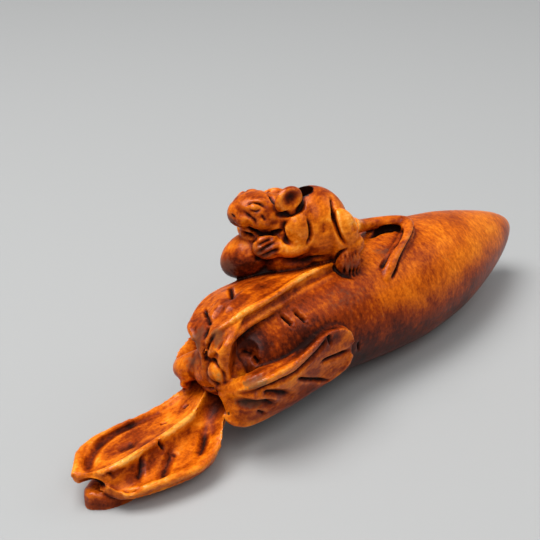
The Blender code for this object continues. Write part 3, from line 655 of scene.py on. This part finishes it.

# Gouge strokes. Each kind has where it lies, how dark its stain and painted shade are, and whether its
# hollows are soft. A row is the half width, the depth and the points, and its own darkness if it has one. A
# minus depth is a crest.
# By the root, a point is a distance along it and an angle. On the front leaf it is ahead of the crown, and y.
# On the crown's face it is y and height.
strokes = {
    "crownCuts": {"where": "besideRoot", "stain": 0.7, "rows": [
        (0.28, 0.5, [(-20.4, -29), (-21.0, -20), (-22.0, -2)]),
        (0.3, 0.4, [(-16.7, -32), (-18.3, -15), (-19.1, -6)]),
        (0.32, 0.6, [(-16.3, 29), (-16.0, 45)]),
        (0.32, 0.6, [(-15.0, 33), (-14.6, 48)]),
        (0.24, 0.3, [(-9.3, 91), (-9.1, 100)]),
        (0.4, 0.6, [(-20.4, 40), (-20.0, 54)]),
        (0.4, 0.55, [(-20.0, 56), (-19.8, 69)]),
    ]},
    # the leaf cuts' darkening is partly stain and partly painted shade below the leaves' rims
    "leafCuts": {"where": "onSideLeaves", "stain": 0.45, "rows": [
        (0.36, 0.42, [(-22.4, 94), (-21.4, 87), (-19.8, 85), (-18.2, 85), (-16.5, 80), (-14.9, 74),
                      (-13.9, 68)]),
        (0.5, 0.48, [(-21.3, 91), (-19.9, 97), (-17.6, 111)]),
        (0.62, 0.55, [(-22.6, 110), (-21.8, 104), (-20.9, 104), (-19.6, 112)]),
        (0.28, 0.28, [(-21.3, 113), (-20.3, 121)]),
        (0.3, 0.42, [(-17.4, 93), (-15.5, 104), (-13.0, 116)]),
        (0.38, 0.45, [(-14.5, 89), (-12.8, 91), (-10.9, 92)]),
        (0.3, 0.35, [(-13.7, 66), (-13.5, 75)]),
    ]},
    # crests and soft hollows
    "crownSwells": {"where": "besideRoot", "soft": True, "rows": [
        (0.38, -0.22, [(-22.0, 15), (-20.4, 17), (-16.8, 16.5), (-14.3, 12), (-11.8, 9), (-8.8, 8)]),
        (0.7, -0.22, [(-21.0, 4), (-19.3, -2), (-16.7, -9), (-14.6, -12)]),
        (0.5, -0.12, [(-22.2, 86), (-21.6, 80), (-20.2, 76), (-18.5, 75), (-16.5, 71), (-14.3, 65),
                      (-13.0, 64)]),
        (0.6, -0.22, [(-22.0, 98), (-20.8, 99), (-19.2, 107)]),
        (0.9, -0.16, [(-19.5, 122), (-17.0, 124), (-14.5, 118), (-12.2, 108)]),
        (2.4, 0.34, [(6.0, -36), (9.0, -37), (12.0, -37), (17.0, -37)]),
    ]},
    "frontCuts": {"where": "onFront", "stain": 0.35, "rows": [
        (0.55, 0.3, [(6.1, -0.9), (7.1, -1.4), (8.1, -1.9), (9.0, -2.4)]),
        (0.5, 0.3, [(3.0, -1.2), (4.0, -2.0), (5.2, -2.6)]),
        (0.4, 0.26, [(8.9, -0.5), (9.6, -0.9), (10.3, -1.3)]),
        (0.26, 0.34, [(7.3, -0.4), (6.9, -0.7)]),
        (0.26, 0.34, [(6.7, -1.1), (6.3, -1.4)]),
        (0.36, 0.3, [(0.2, 0.9), (1.4, 0.0), (2.7, -1.0)]),
        (0.22, 0.22, [(4.5, 1.5), (5.1, 1.7)]),
        (0.22, 0.22, [(2.1, 1.5), (2.6, 1.6)]),
        (0.3, 0.36, [(12.7, -0.3), (12.4, -1.0), (11.8, -1.7), (10.8, -2.1)]),
    ]},
    "frontSwells": {"where": "onFront", "soft": True, "rows": [
        (0.6, 0.36, [(13.0, 1.2), (12.3, 2.0), (11.2, 2.8), (9.8, 3.3), (8.2, 3.45), (6.4, 3.3),
                     (4.4, 3.0)]),
        (0.5, -0.2, [(2.6, 0.1), (4.0, -0.2), (7.0, -0.35), (10.5, -0.4), (12.0, 0.2), (12.8, 0.9)]),
        (0.6, -0.16, [(1.5, -1.4), (3.0, -2.5), (5.5, -3.2), (8.0, -3.0), (10.3, -2.3), (11.6, -1.6)]),
        (0.8, 0.2, [(9.8, 1.6), (8.2, 1.2)]),
    ]},
    "stemCuts": {"where": "onCrown", "stain": 0.5, "rows": [
        (0.22, 0.4, [(-1.0, 10.9), (-0.5, 9.6), (-0.2, 8.4)]),
        (0.26, 0.2, [(-1.8, 11.0), (-1.7, 10.2), (-1.6, 9.4)]),
        (0.24, 0.22, [(-0.5, 8.4), (-1.1, 8.7), (-1.8, 8.5), (-2.15, 7.9), (-2.1, 7.1)]),
        (0.26, 0.3, [(1.0, 5.4), (-0.6, 5.8), (-2.2, 6.3)]),
    ]},
    # the tail's grooves are darkened partly with stain and partly with painted shadow along the band's edges
    "tailCuts": {"where": "besideRoot", "stain": 0.6, "rows": [
        (0.38, 0.7, [(-1.2, -5), (0.0, -6), (0.9, -3), (1.5, 2), (1.5, 6)], 1.0),
        (0.4, 0.2, [(-1.6, -4), (-0.4, -4), (0.6, -1), (1.1, 4)], 0.5),
        (0.34, 0.3, [(1.3, 8), (0.7, 13), (-0.8, 20), (-2.0, 24)], 0.3),
        (0.3, 0.22, [(-2.2, 25), (-3.2, 29), (-4.2, 34)], 0.35),
        (0.26, 0.36, [(3.5, 7), (2.5, 15), (1.1, 22.5), (-0.4, 28.5), (-1.8, 34.5), (-2.8, 41), (-3.6, 46)]),
    ]},
    "ratCuts": {"where": "onRat", "stain": 0.7, "rows": [
        (0.2, 0.28, [(7.3, 1.1, 6.25), (6.8, 1.2, 6.7), (6.4, 1.4, 6.45), (5.7, 1.7, 6.15)]),
        (0.14, 0.1, [(7.0, 1.4, 5.95), (6.6, 1.6, 5.8), (6.2, 1.6, 5.95)]),
        (0.24, 0.2, [(7.6, 1.2, 5.9), (7.2, 1.5, 5.4), (6.8, 1.7, 5.1), (6.6, 1.7, 4.5)]),
        (0.2, 0.18, [(6.2, 1.8, 5.5), (5.9, 1.9, 5.0)]),
        (0.18, 0.26, [(8.5, 0.5, 5.35), (8.2, 0.8, 5.2)]),
        (0.28, 0.5, [(8.4, 0.4, 4.5), (7.7, 1.0, 4.2), (7.0, 1.4, 4.0), (6.1, 1.8, 3.7), (5.0, 2.0, 3.8),
                     (4.3, 2.2, 4.1)]),
        (0.34, 0.45, [(4.8, 1.8, 5.3), (3.7, 2.3, 5.4), (2.7, 1.8, 5.6), (2.3, 1.0, 6.1)]),
        (0.32, 0.45, [(4.9, 0.3, 6.7), (4.8, 1.0, 6.5), (4.6, 1.6, 6.3)]),
        (0.28, 0.5, [(2.3, 2.6, 4.8), (2.2, 2.8, 4.0), (2.2, 3.0, 3.3), (2.5, 3.0, 2.8)]),
        (0.34, 0.3, [(4.0, 2.4, 5.0), (4.5, 2.3, 4.6), (4.6, 2.4, 4.0), (4.4, 2.6, 3.3), (4.0, 2.8, 2.8)]),
        (0.24, 0.34, [(6.8, 2.3, 3.0), (6.2, 2.5, 3.4), (5.5, 2.4, 3.6)]),
        (0.24, 0.34, [(6.8, 2.4, 2.4), (6.2, 2.7, 2.9), (5.2, 2.6, 3.3)]),
        (0.24, 0.34, [(6.6, 2.4, 1.9), (6.0, 2.7, 2.3), (5.1, 3.0, 2.7)]),
        (0.3, 0.35, [(6.9, 2.0, 1.8), (6.0, 2.2, 1.4), (5.0, 2.4, 1.5)]),
        (0.34, 0.5, [(7.9, 0.4, 3.4), (7.3, 1.2, 3.4), (6.7, 1.9, 3.3)]),
        (0.28, 0.6, [(-0.5, 1.5, 6.2), (-0.2, 2.1, 5.3), (0.0, 2.6, 4.4), (-0.3, 3.0, 3.2),
                     (-0.8, 3.1, 2.3)]),
        (0.22, 0.2, [(-1.0, 3.2, 1.9), (-0.4, 2.9, 1.5), (0.0, 2.6, 0.7), (0.0, 2.8, 0.0), (-0.4, 3.5, -0.5),
                     (-1.2, 3.8, -0.8)]),
        (0.17, 0.28, [(-0.7, 3.4, 1.5), (-0.6, 3.5, -0.3)]),
        (0.17, 0.28, [(-1.1, 3.5, 1.6), (-1.1, 3.6, -0.6)]),
        (0.17, 0.28, [(-1.4, 3.5, 1.5), (-1.5, 3.6, -0.6)]),
        (0.17, 0.28, [(-1.8, 3.4, 1.5), (-1.9, 3.5, -0.5)]),
        (0.4, 0.35, [(4.4, 2.5, 1.2), (2.4, 2.4, 1.0), (0.7, 2.6, 1.0)]),
    ]},
    # broad cuts that leave a facet and take no stain or painted shade
    "ratFacets": {"where": "onRat", "rows": [
        (0.5, 0.16, [(8.0, 0.9, 5.7), (7.4, 1.2, 5.6), (6.8, 1.5, 5.5)]),
        (0.5, 0.14, [(7.9, 1.0, 4.9), (7.3, 1.4, 4.7)]),
        (0.6, 0.16, [(6.0, 1.8, 5.5), (5.4, 1.9, 4.9), (5.2, 1.9, 4.4)]),
        (0.55, 0.14, [(3.9, 2.6, 3.9), (3.5, 2.9, 3.2)]),
        (0.55, 0.14, [(-1.9, 2.9, 4.2), (-2.0, 3.1, 3.2)]),
        (0.55, 0.14, [(1.0, 2.9, 4.6), (1.0, 3.1, 3.4)]),
    ]},
}

# Hollows pressed into the surface: centre, radii, push, and their darkness, which is painted shade.
presses = [
    # the notch between the two leaves at their tips, painted dark as shade in the opening
    (Vector((-34.3, 0.7, 2.1)), (1.2, 1.3, 0.6), (0.9, 0, 0), 1.0),
    # the dark hollow between the upper leaf's stem and the root, darkened with painted shade
    (byRoot(-20.9, 46, 3.6), (1.5, 1.3, 1.6), (0.6, 0.3, -0.3), 1.0),
]


# The finish varies in patches: dust that settled, dark patches that are partly stain and partly painted
# shade, and patches of painted light and highlights.
# Each patch has its centre, radii and strength.
patches = {
    "dust": {
        "onRat": [
            ((9.0, 0.6, 0.7), (1.3, 1.5, 1.3), 1.0), ((8.5, 0.3, 4.7), (0.7, 0.9, 0.7), 1.0),
            ((6.4, 2.4, 2.4), (1.2, 0.8, 1.2), 0.8), ((-1.2, 3.4, 0.6), (1.0, 0.6, 1.2), 0.7),
        ],
        "byRoot": [
            ((-22.9, -11, 3.2), (1.2, 0.7, 1.9), 1.2), ((-22.6, 16, 4.1), (1.0, 0.7, 1.3), 1.2),
            ((-21.8, 80, 4.7), (1.8, 1.4, 0.7), 1.3), ((-21.7, 105, 4.2), (1.8, 1.4, 0.7), 1.3),
            ((-22.8, 60, 1.2), (0.9, 1.5, 1.1), 0.8), ((-22.6, -60, 1.6), (0.9, 1.1, 1.4), 0.8),
            ((-3.0, 18, 5.5), (2.0, 1.4, 1.2), 0.6), ((-9.5, 45, 5.2), (3.0, 1.6, 1.4), 0.6),
        ],
        "onLeaf": [],
    },
    # dark patches, partly stain and partly painted shade under the nut and the rat's belly, below the front
    # leaf's rib, along the root's underside and in the hollows at the crown
    "stain": {
        "onRat": [
            ((-1.2, 3.3, 0.4), (1.6, 1.0, 1.7), 0.55), ((5.9, 2.6, 2.7), (1.5, 1.0, 1.4), 0.55),
            ((8.4, 0.4, 4.6), (1.1, 1.2, 1.0), 0.6), ((8.0, 0.4, 0.0), (2.4, 2.2, 1.5), 0.9),
            ((7.0, 1.2, 3.6), (2.4, 1.6, 0.7), 0.3), ((5.6, 2.0, 0.2), (3.2, 1.6, 1.2), 0.55),
            ((2.6, 2.8, 1.4), (3.4, 1.2, 1.3), 0.35),
        ],
        "byRoot": [
            ((-21.6, 104, 4.8), (2.2, 1.8, 1.8), 0.45), ((-20.5, 50, 4.2), (3.2, 2.8, 2.4), 1.1),
            ((-22.4, 120, 1.6), (1.6, 2.4, 1.6), 0.45), ((-16.0, 62, 5.0), (6.5, 2.0, 2.0), 0.6),
            ((-14.0, 30, 5.0), (6.0, 1.0, 1.0), 0.4), ((-22.6, -112, 3.6), (1.3, 1.6, 1.6), 0.4),
            ((0.0, 108, 5.2), (26.0, 3.6, 3.6), 0.55), ((-19.5, -4, 6.0), (2.2, 1.6, 1.6), 0.7),
            ((-14.0, -20, 6.2), (3.5, 1.6, 1.4), 0.6), ((-14.6, -35, 7.0), (2.4, 2.0, 1.5), 1.0),
            ((-11.5, -10, 6.0), (3.2, 1.8, 1.1), 0.6), ((-15.5, -8, 5.8), (2.2, 1.4, 1.0), 0.5),
            ((-22.6, 97, 5.0), (1.6, 1.6, 1.4), 0.5),
        ],
        "onLeaf": [
            ((1.5, -0.9, 4.2), (2.2, 1.2, 1.4), 0.75), ((3.9, -1.3, 2.9), (1.2, 1.2, 1.0), 0.55),
            ((10.3, -0.9, 2.7), (2.4, 0.6, 0.9), 0.7), ((12.0, -0.3, 3.1), (1.8, 0.5, 0.6), 0.8),
            ((2.5, -1.9, 2.9), (1.0, 0.7, 0.8), 0.6), ((6.8, -0.8, 2.8), (1.0, 0.6, 0.8), 0.5),
            ((3.0, 1.8, 3.8), (1.8, 0.9, 0.8), 0.45), ((8.6, 1.4, 3.2), (1.6, 0.6, 0.7), 0.45),
            ((11.8, 0.4, 0.6), (2.6, 2.6, 1.2), 0.45), ((9.2, 1.9, 3.2), (2.6, 1.0, 0.9), 0.5),
        ],
    },
    # painted light: lit patches and highlights on the rat's haunch, head, cheeks and arm, on the root's tip
    # half and on the front leaf
    "light": {
        "onRat": [
            ((-1.6, 2.6, 4.0), (1.9, 1.6, 2.4), 1.0), ((5.3, 1.9, 5.2), (1.1, 1.2, 0.8), 1.0),
            ((6.7, 1.2, 6.3), (0.7, 0.8, 0.4), 1.0), ((4.9, 0.8, 6.6), (1.6, 1.2, 0.6), 0.8),
            ((3.8, 2.2, 6.5), (1.8, 0.9, 1.5), 1.2), ((6.4, 1.0, 6.2), (1.6, 1.2, 0.7), 0.8),
            ((6.2, 1.7, 5.0), (1.1, 0.9, 0.8), 1.3), ((7.3, 1.6, 2.0), (1.2, 1.0, 0.8), 0.8),
            ((3.2, 3.0, 3.2), (1.0, 0.8, 0.9), 0.8),
        ],
        "byRoot": [
            ((12.0, 50, 4.0), (9.0, 3.2, 3.0), 1.0), ((-3.0, 58, 5.4), (4.5, 2.0, 2.0), 0.9),
            ((1.0, 84, 5.6), (6.0, 2.2, 2.2), 0.8), ((19.5, 30, 1.5), (3.5, 3.0, 3.0), 0.8),
        ],
        "onLeaf": [
            ((6.2, -2.2, 1.8), (2.6, 0.9, 0.8), 0.6), ((12.6, 2.6, 3.2), (2.2, 1.0, 0.8), 0.6),
        ],
    },
}


def carve(skin):
    for kind in strokes.values():
        for halfWidth, depth, points, *own in kind["rows"]:
            stain = own[0] if own else kind.get("stain", 0.0)
            sharp = depth < 0 or not kind.get("soft", False)
            for spots in skin.spots(kind["where"], points):
                skin.cut(spots, halfWidth, depth, sharp, stain)
    hollow = rat["earHollow"]
    for side in (1, -1):
        skin.press(onRat(*atEar(hollow["centre"], side)), ratAxes, hollow["radii"],
                   ratAxes @ Vector((0, -hollow["push"] * side, 0)), hollow["stain"])
    upright = Matrix.Identity(3)
    for kind, values in (("dust", skin.dust), ("stain", skin.stain), ("light", skin.light)):
        for measure, place in (("onRat", onRat), ("byRoot", byRoot), ("onLeaf", onLeaf)):
            for centre, radii, strength in patches[kind][measure]:
                share = skin.share(place(*centre), ratAxes if place is onRat else upright, radii)
                np.maximum(values, share * strength, out=values)
    for centre, radii, push, stain in presses:
        skin.press(centre, upright, radii, Vector(push), stain)


# The cord hole runs from over the rat's back down through the root.
cordHole = {
    "radius": 0.85,
    "mouth": (2.0, -0.3, 9.0),
    "foot": -3.0,
    "sides": 48,
    "wall": 1.04,  # how far from its axis the painted shade reaches, in radii
    # how dark the hole is painted inside, as painted shade
    "stain": 1.6,
}


def takeAway(made, cutter):
    cut = made.modifiers.new("cut", "BOOLEAN")
    cut.operation = "DIFFERENCE"
    cut.solver = "EXACT"
    cut.object = cutter
    applyModifiers(made)
    bpy.data.objects.remove(cutter)


def drillCordHole(made):
    r = cordHole["radius"]
    mouth = onRat(*cordHole["mouth"])
    foot = Vector((mouth.x, 0.0, cordHole["foot"]))
    takeAway(made, loft("drill", [[end + Vector((r * math.cos(a), r * math.sin(a), 0))
                                   for a in roundAngles(cordHole["sides"])] for end in (foot, mouth)]))
    # the hole is painted dark inside, as painted shade
    mesh = made.data
    offset = readVectors(mesh, "co") - np.array(foot)
    along = np.array((mouth - foot).normalized())
    gap = np.linalg.norm(offset - np.outer(offset @ along, along), axis=1)
    stain = np.empty(len(mesh.vertices), np.float32)
    mesh.attributes["stain"].data.foreach_get("value", stain)
    stain[gap < r * cordHole["wall"]] = cordHole["stain"]
    mesh.attributes["stain"].data.foreach_set("value", stain)


def meanOfNeighbours(values, first, second, share):
    found = np.empty_like(values)
    for k in range(3):
        total = (np.bincount(first, values[second, k], len(values))
                 + np.bincount(second, values[first, k], len(values)))
        found[:, k] = total * share
    return found


# How far the surface lies under or over its own smoothed form tells the recesses, darkened with patina and
# painted shade, from the rubbed edges.
patinaAndShade = {"fineSteps": 8, "broadSteps": 100, "fineGain": 8.0, "broadGain": 1.7, "rootBand": 0.25}


def markPatinaAndPaintedLight(skin):
    mesh = skin.made.data
    edges = np.empty(len(mesh.edges) * 2, np.int64)
    mesh.edges.foreach_get("vertices", edges)
    first, second = edges.reshape(-1, 2).T
    count = len(skin.places)
    neighbours = np.bincount(first, minlength=count) + np.bincount(second, minlength=count)
    share = 1.0 / np.maximum(neighbours, 1)
    facing = readVectors(mesh, "normal")
    smooth = skin.places.copy()
    depths = []
    for step in range(patinaAndShade["broadSteps"]):
        smooth = 0.5 * smooth + 0.5 * meanOfNeighbours(smooth, first, second, share)
        if step + 1 in (patinaAndShade["fineSteps"], patinaAndShade["broadSteps"]):
            depths.append(((smooth - skin.places) * facing).sum(axis=1))
    fine, broad = depths
    under = fine * patinaAndShade["fineGain"] + broad * patinaAndShade["broadGain"]
    local = skin.places - np.array([0.0, 0.0, axisHeight])
    axial = local[:, 0] * math.cos(tilt) - local[:, 2] * math.sin(tilt)
    rise = local[:, 0] * math.sin(tilt) + local[:, 2] * math.cos(tilt)
    outward = np.hypot(skin.places[:, 1], rise - tipRise(axial))
    proud = outward - np.interp(axial, rootCurve[:, 0], rootCurve[:, 1])
    # recess darkens with patina and painted shade, the dark patches hold stain and painted shade, and the
    # light patches are painted light
    for name, values in (
        ("recess", np.clip(under, 0.0, 1.0)),
        ("wear", np.clip(-under, 0.0, 1.0)),
        ("stain", skin.stain),
        ("dust", skin.dust),
        ("light", skin.light),
        ("rootSkin", np.clip(1.0 - np.abs(proud) / patinaAndShade["rootBand"], 0.0, 1.0)),
    ):
        mesh.attributes.new(name, "FLOAT", "POINT").data.foreach_set("value", values.astype(np.float32))


def buildBead():
    made = fuse(rootForm() + foldedLeaf("upper") + foldedLeaf("near") + foldedLeaf("far") + frontLeaf()
                + crownForms() + ratForms() + nutForms() + tailForm())
    print("fused", len(made.data.polygons), "faces")
    skin = Skin(made)
    carve(skin)
    # the underside is pared flat
    skin.places[:, 2] = np.maximum(skin.places[:, 2], 0.0)
    skin.write()
    markPatinaAndPaintedLight(skin)
    print("carved")
    thinOut(made)
    drillCordHole(made)
    print("drilled")
    return made


def ontoSolid(made):
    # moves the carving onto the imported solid, in metres, and returns that move for the camera
    mesh = made.data
    places = readVectors(mesh, "co")
    low, high = (np.array(corner) * 1000 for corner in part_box("carved_bead"))
    shift = (low + high) / 2 - (places.min(axis=0) + places.max(axis=0)) / 2
    shift[2] = low[2] - places[:, 2].min()
    mesh.vertices.foreach_set("co", ((places + shift) * 0.001).ravel())
    mesh.update()
    mesh.shade_smooth()
    mesh.set_sharp_from_angle(angle=math.radians(carving["sharpFrom"]))
    return Vector(shift)


class Value:
    # a node's output, so that shader maths reads as plain expressions
    def __init__(self, socket):
        self.socket = socket
        self.tree = socket.id_data

    def maths(self, operation, first, second):
        node = self.tree.nodes.new("ShaderNodeMath")
        node.operation = operation
        for place, item in zip(node.inputs, (first, second)):
            if isinstance(item, Value):
                self.tree.links.new(item.socket, place)
            else:
                place.default_value = item
        return Value(node.outputs[0])

    def __add__(self, other):
        return self.maths("ADD", self, other)

    def __radd__(self, other):
        return self.maths("ADD", other, self)

    def __sub__(self, other):
        return self.maths("SUBTRACT", self, other)

    def __rsub__(self, other):
        return self.maths("SUBTRACT", other, self)

    def __mul__(self, other):
        return self.maths("MULTIPLY", self, other)

    def __rmul__(self, other):
        return self.maths("MULTIPLY", other, self)


class Finish:
    def __init__(self, name):
        self.material = bpy.data.materials.new(name)
        self.material.use_nodes = True
        self.tree = self.material.node_tree
        self.surface = self.tree.nodes["Principled BSDF"]

    def make(self, kind, settings=None, values=None, output=0):
        node = self.tree.nodes.new(kind)
        for name, value in (settings or {}).items():
            if name == "stops":
                ramp = node.color_ramp
                while len(ramp.elements) < len(value):
                    ramp.elements.new(1.0)
                for element, (place, colour) in zip(ramp.elements, value):
                    element.position = place
                    element.color = (*colour, 1.0)
            else:
                setattr(node, name, value)
        for name, value in (values or {}).items():
            self.feed(node.inputs[name], value)
        return Value(node.outputs[output])

    def feed(self, place, value):
        if isinstance(value, Value):
            self.tree.links.new(value.socket, place)
        else:
            place.default_value = value

    def painted(self, name):
        return self.make("ShaderNodeAttribute", {"attribute_name": name}, output=2)

    def noise(self, where, pattern):
        if "stretch" in pattern:
            where = self.make("ShaderNodeMapping", {}, {"Vector": where, "Scale": pattern["stretch"]})
        return self.make("ShaderNodeTexNoise", {}, {
            "Vector": where, "Scale": pattern["scale"], "Detail": pattern["detail"],
            "Roughness": pattern["roughness"], "Distortion": 0.0})

    def mixed(self, share, first, second):
        return self.make("ShaderNodeMix", {"data_type": "RGBA"}, {0: share, 6: first, 7: second}, output=2)

    def limited(self, value, fromLow, fromHigh, toLow=0.0, toHigh=1.0):
        return self.make("ShaderNodeMapRange", {"clamp": True}, {
            "Value": value, "From Min": fromLow, "From Max": fromHigh, "To Min": toLow, "To Max": toHigh})


boxwood = {
    "tones": [
        (0.00, (0.012, 0.0018, 0.0006)),
        (0.22, (0.075, 0.0080, 0.0010)),
        (0.45, (0.270, 0.0330, 0.0012)),
        (0.66, (0.600, 0.1150, 0.0020)),
        (0.84, (0.850, 0.2300, 0.0080)),
        (1.00, (0.960, 0.4000, 0.0600)),
    ],
    "tone": 0.57,
    # how far each mark and pattern moves the tone
    "toneShares": {
        "clouds": 1.3, "cloudsOnRoot": 0.4, "streaks": 0.65, "grain": 0.9, "specks": 0.35,
        "wear": 0.2, "recess": 0.5, "stain": 0.42, "light": 0.14, "crownGloom": 0.14, "lowPaintedShade": 0.34,
    },
    "dust": {"colour": (0.085, 0.040, 0.024, 1.0), "specks": 1.6, "grain": 2.6, "from": 0.35, "most": 0.7},
    "roughness": {"least": 0.34, "specks": 0.2, "recess": 0.25, "dust": 0.3},
    "relief": {"streaks": 0.5, "grain": 0.35, "specks": 0.3},
    "shine": 0.08,
    "coat": 0.45,
    "coatRoughness": 0.18,
    "bump": {"Strength": 0.22, "Distance": 0.00006},
    # scales are per metre
    "clouds": {"scale": 150.0, "detail": 4.0, "roughness": 0.62},
    "streaks": {"scale": 1500.0, "detail": 5.0, "roughness": 0.7, "stretch": (1.7, 0.85, 0.85)},
    "grain": {"scale": 1000.0, "detail": 5.0, "roughness": 0.7, "stretch": (0.6, 1.4, 1.4)},
    "specks": {"scale": 3800.0, "detail": 2.0, "roughness": 0.55},
    # the root is darker at its crown, and painted shade darkens it near the ground: from, to, and the shares
    # there
    "crownGloom": (-0.016, 0.016, 1.0, -0.6),
    "lowPaintedShade": (0.0015, 0.0085, 1.0, 0.0),
}


def boxwoodFinish():
    wood = Finish("boxwood")
    where = wood.make("ShaderNodeTexCoord", output=3)
    recess, wear = wood.painted("recess"), wood.painted("wear")
    stain, rootSkin = wood.painted("stain"), wood.painted("rootSkin")
    dust, light = wood.painted("dust"), wood.painted("light")
    clouds = wood.noise(where, boxwood["clouds"])
    # short streaks across the root
    streaks = wood.noise(where, boxwood["streaks"])
    grain = wood.noise(where, boxwood["grain"])
    specks = wood.noise(where, boxwood["specks"])
    lengthways = wood.make("ShaderNodeSeparateXYZ", {}, {"Vector": where})
    crownGloom = wood.limited(lengthways, *boxwood["crownGloom"])
    height = wood.make("ShaderNodeSeparateXYZ", {}, {"Vector": where}, output=2)
    lowPaintedShade = wood.limited(height, *boxwood["lowPaintedShade"])
    share = boxwood["toneShares"]
    # the tone falls in recesses with patina and painted shade, falls with stain and painted shade, rises with
    # painted light and highlights, and falls with painted shade near the ground
    tone = (boxwood["tone"] + (clouds - 0.5) * (share["clouds"] - rootSkin * share["cloudsOnRoot"])
            + (streaks - 0.5) * rootSkin * share["streaks"]
            + (grain - 0.5) * (1.0 - rootSkin) * share["grain"]
            + (specks - 0.5) * share["specks"] + wear * share["wear"] - recess * share["recess"]
            - stain * share["stain"] + light * share["light"]
            - crownGloom * rootSkin * share["crownGloom"] - lowPaintedShade * rootSkin * share["lowPaintedShade"])
    toneColour = wood.make("ShaderNodeValToRGB", {"stops": boxwood["tones"]}, {"Fac": tone})
    share = boxwood["dust"]
    patchy = dust + (specks - 0.5) * share["specks"] + (grain - 0.5) * share["grain"]
    dusty = wood.limited(patchy, share["from"], 1.0) * share["most"]
    share = boxwood["relief"]
    relief = streaks * rootSkin * share["streaks"] + grain * share["grain"] + specks * share["specks"]
    share = boxwood["roughness"]
    roughness = (share["least"] + (specks - 0.5) * share["specks"] + recess * share["recess"]
                 + dusty * share["dust"])
    for name, value in (
        ("Base Color", wood.mixed(dusty, toneColour, boxwood["dust"]["colour"])),
        ("Roughness", roughness),
        ("Normal", wood.make("ShaderNodeBump", {}, {"Height": relief, **boxwood["bump"]})),
        ("Specular IOR Level", boxwood["shine"]),
        ("Coat Weight", wear * boxwood["coat"]),
        ("Coat Roughness", boxwood["coatRoughness"]),
    ):
        wood.feed(wood.surface.inputs[name], value)
    return wood.material


studio = {
    "floorSize": 3.0,
    "floorColour": (0.38, 0.383, 0.38, 1.0),
    "floorRoughness": 0.85,
    "worldColour": (0.95, 0.97, 1.0, 1.0),
    "worldStrength": 0.27,
    "lampTarget": (0, 0, 0.005),
    # azimuth, elevation, power in watts, size in metres, distance in metres
    "lights": [
        ("key", -130, 73, 1.10, 0.20, 0.30),
        ("fill", -35, 50, 0.40, 0.20, 0.35),
        ("rim", 60, 40, 0.15, 0.20, 0.35),
    ],
}


def direction(azimuth, elevation):
    a, e = math.radians(azimuth), math.radians(elevation)
    return Vector((math.sin(a) * math.cos(e), -math.cos(a) * math.cos(e), math.sin(e)))


def aimFrom(thing, place, azimuth, elevation):
    thing.location = place
    thing.rotation_mode = "QUATERNION"
    thing.rotation_quaternion = direction(azimuth, elevation).to_track_quat("Z", "Y")


def buildStudio():
    scene = bpy.context.scene
    shape = bmesh.new()
    bmesh.ops.create_grid(shape, x_segments=1, y_segments=1, size=studio["floorSize"])
    floor = madeFrom("floor", shape)
    paint = Finish("paleFloor")
    paint.feed(paint.surface.inputs["Base Color"], studio["floorColour"])
    paint.feed(paint.surface.inputs["Roughness"], studio["floorRoughness"])
    floor.data.materials.append(paint.material)
    world = bpy.data.worlds.new("softRoom")
    world.use_nodes = True
    background = world.node_tree.nodes["Background"].inputs
    background["Color"].default_value = studio["worldColour"]
    background["Strength"].default_value = studio["worldStrength"]
    scene.world = world
    scene.view_settings.view_transform = "Standard"
    for name, azimuth, elevation, power, size, distance in studio["lights"]:
        lamp = bpy.data.lights.new(name, "AREA")
        lamp.energy = power
        lamp.size = size
        light = bpy.data.objects.new(name, lamp)
        scene.collection.objects.link(light)
        place = Vector(studio["lampTarget"]) + direction(azimuth, elevation) * distance
        aimFrom(light, place, azimuth, elevation)


# The camera stands where the picture was taken from, on the carver's axes in millimetres.
viewpoint = {
    "azimuth": -48.0,
    "elevation": 27.0,
    "target": (4.47, 17.45, 0.0),
    "distance": 132.0,
    "angle": 24.0,
    "sensor": 36.0,
    "clipStart": 0.001,  # in metres
}


def buildCamera(shift):
    lens = bpy.data.cameras.new("camera")
    lens.sensor_width = viewpoint["sensor"]
    lens.angle = math.radians(viewpoint["angle"])
    lens.clip_start = viewpoint["clipStart"]
    camera = bpy.data.objects.new("camera", lens)
    bpy.context.scene.collection.objects.link(camera)
    back = direction(viewpoint["azimuth"], viewpoint["elevation"])
    place = (Vector(viewpoint["target"]) + back * viewpoint["distance"] + shift) * 0.001
    aimFrom(camera, place, viewpoint["azimuth"], viewpoint["elevation"])
    bpy.context.scene.camera = camera


bead = buildBead()
shift = ontoSolid(bead)
bead.data.materials.clear()
bead.data.materials.append(boxwoodFinish())
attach(bead, "root")
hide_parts("carved_bead")
print("bead in place")
buildStudio()
buildCamera(shift)
print("studio ready")
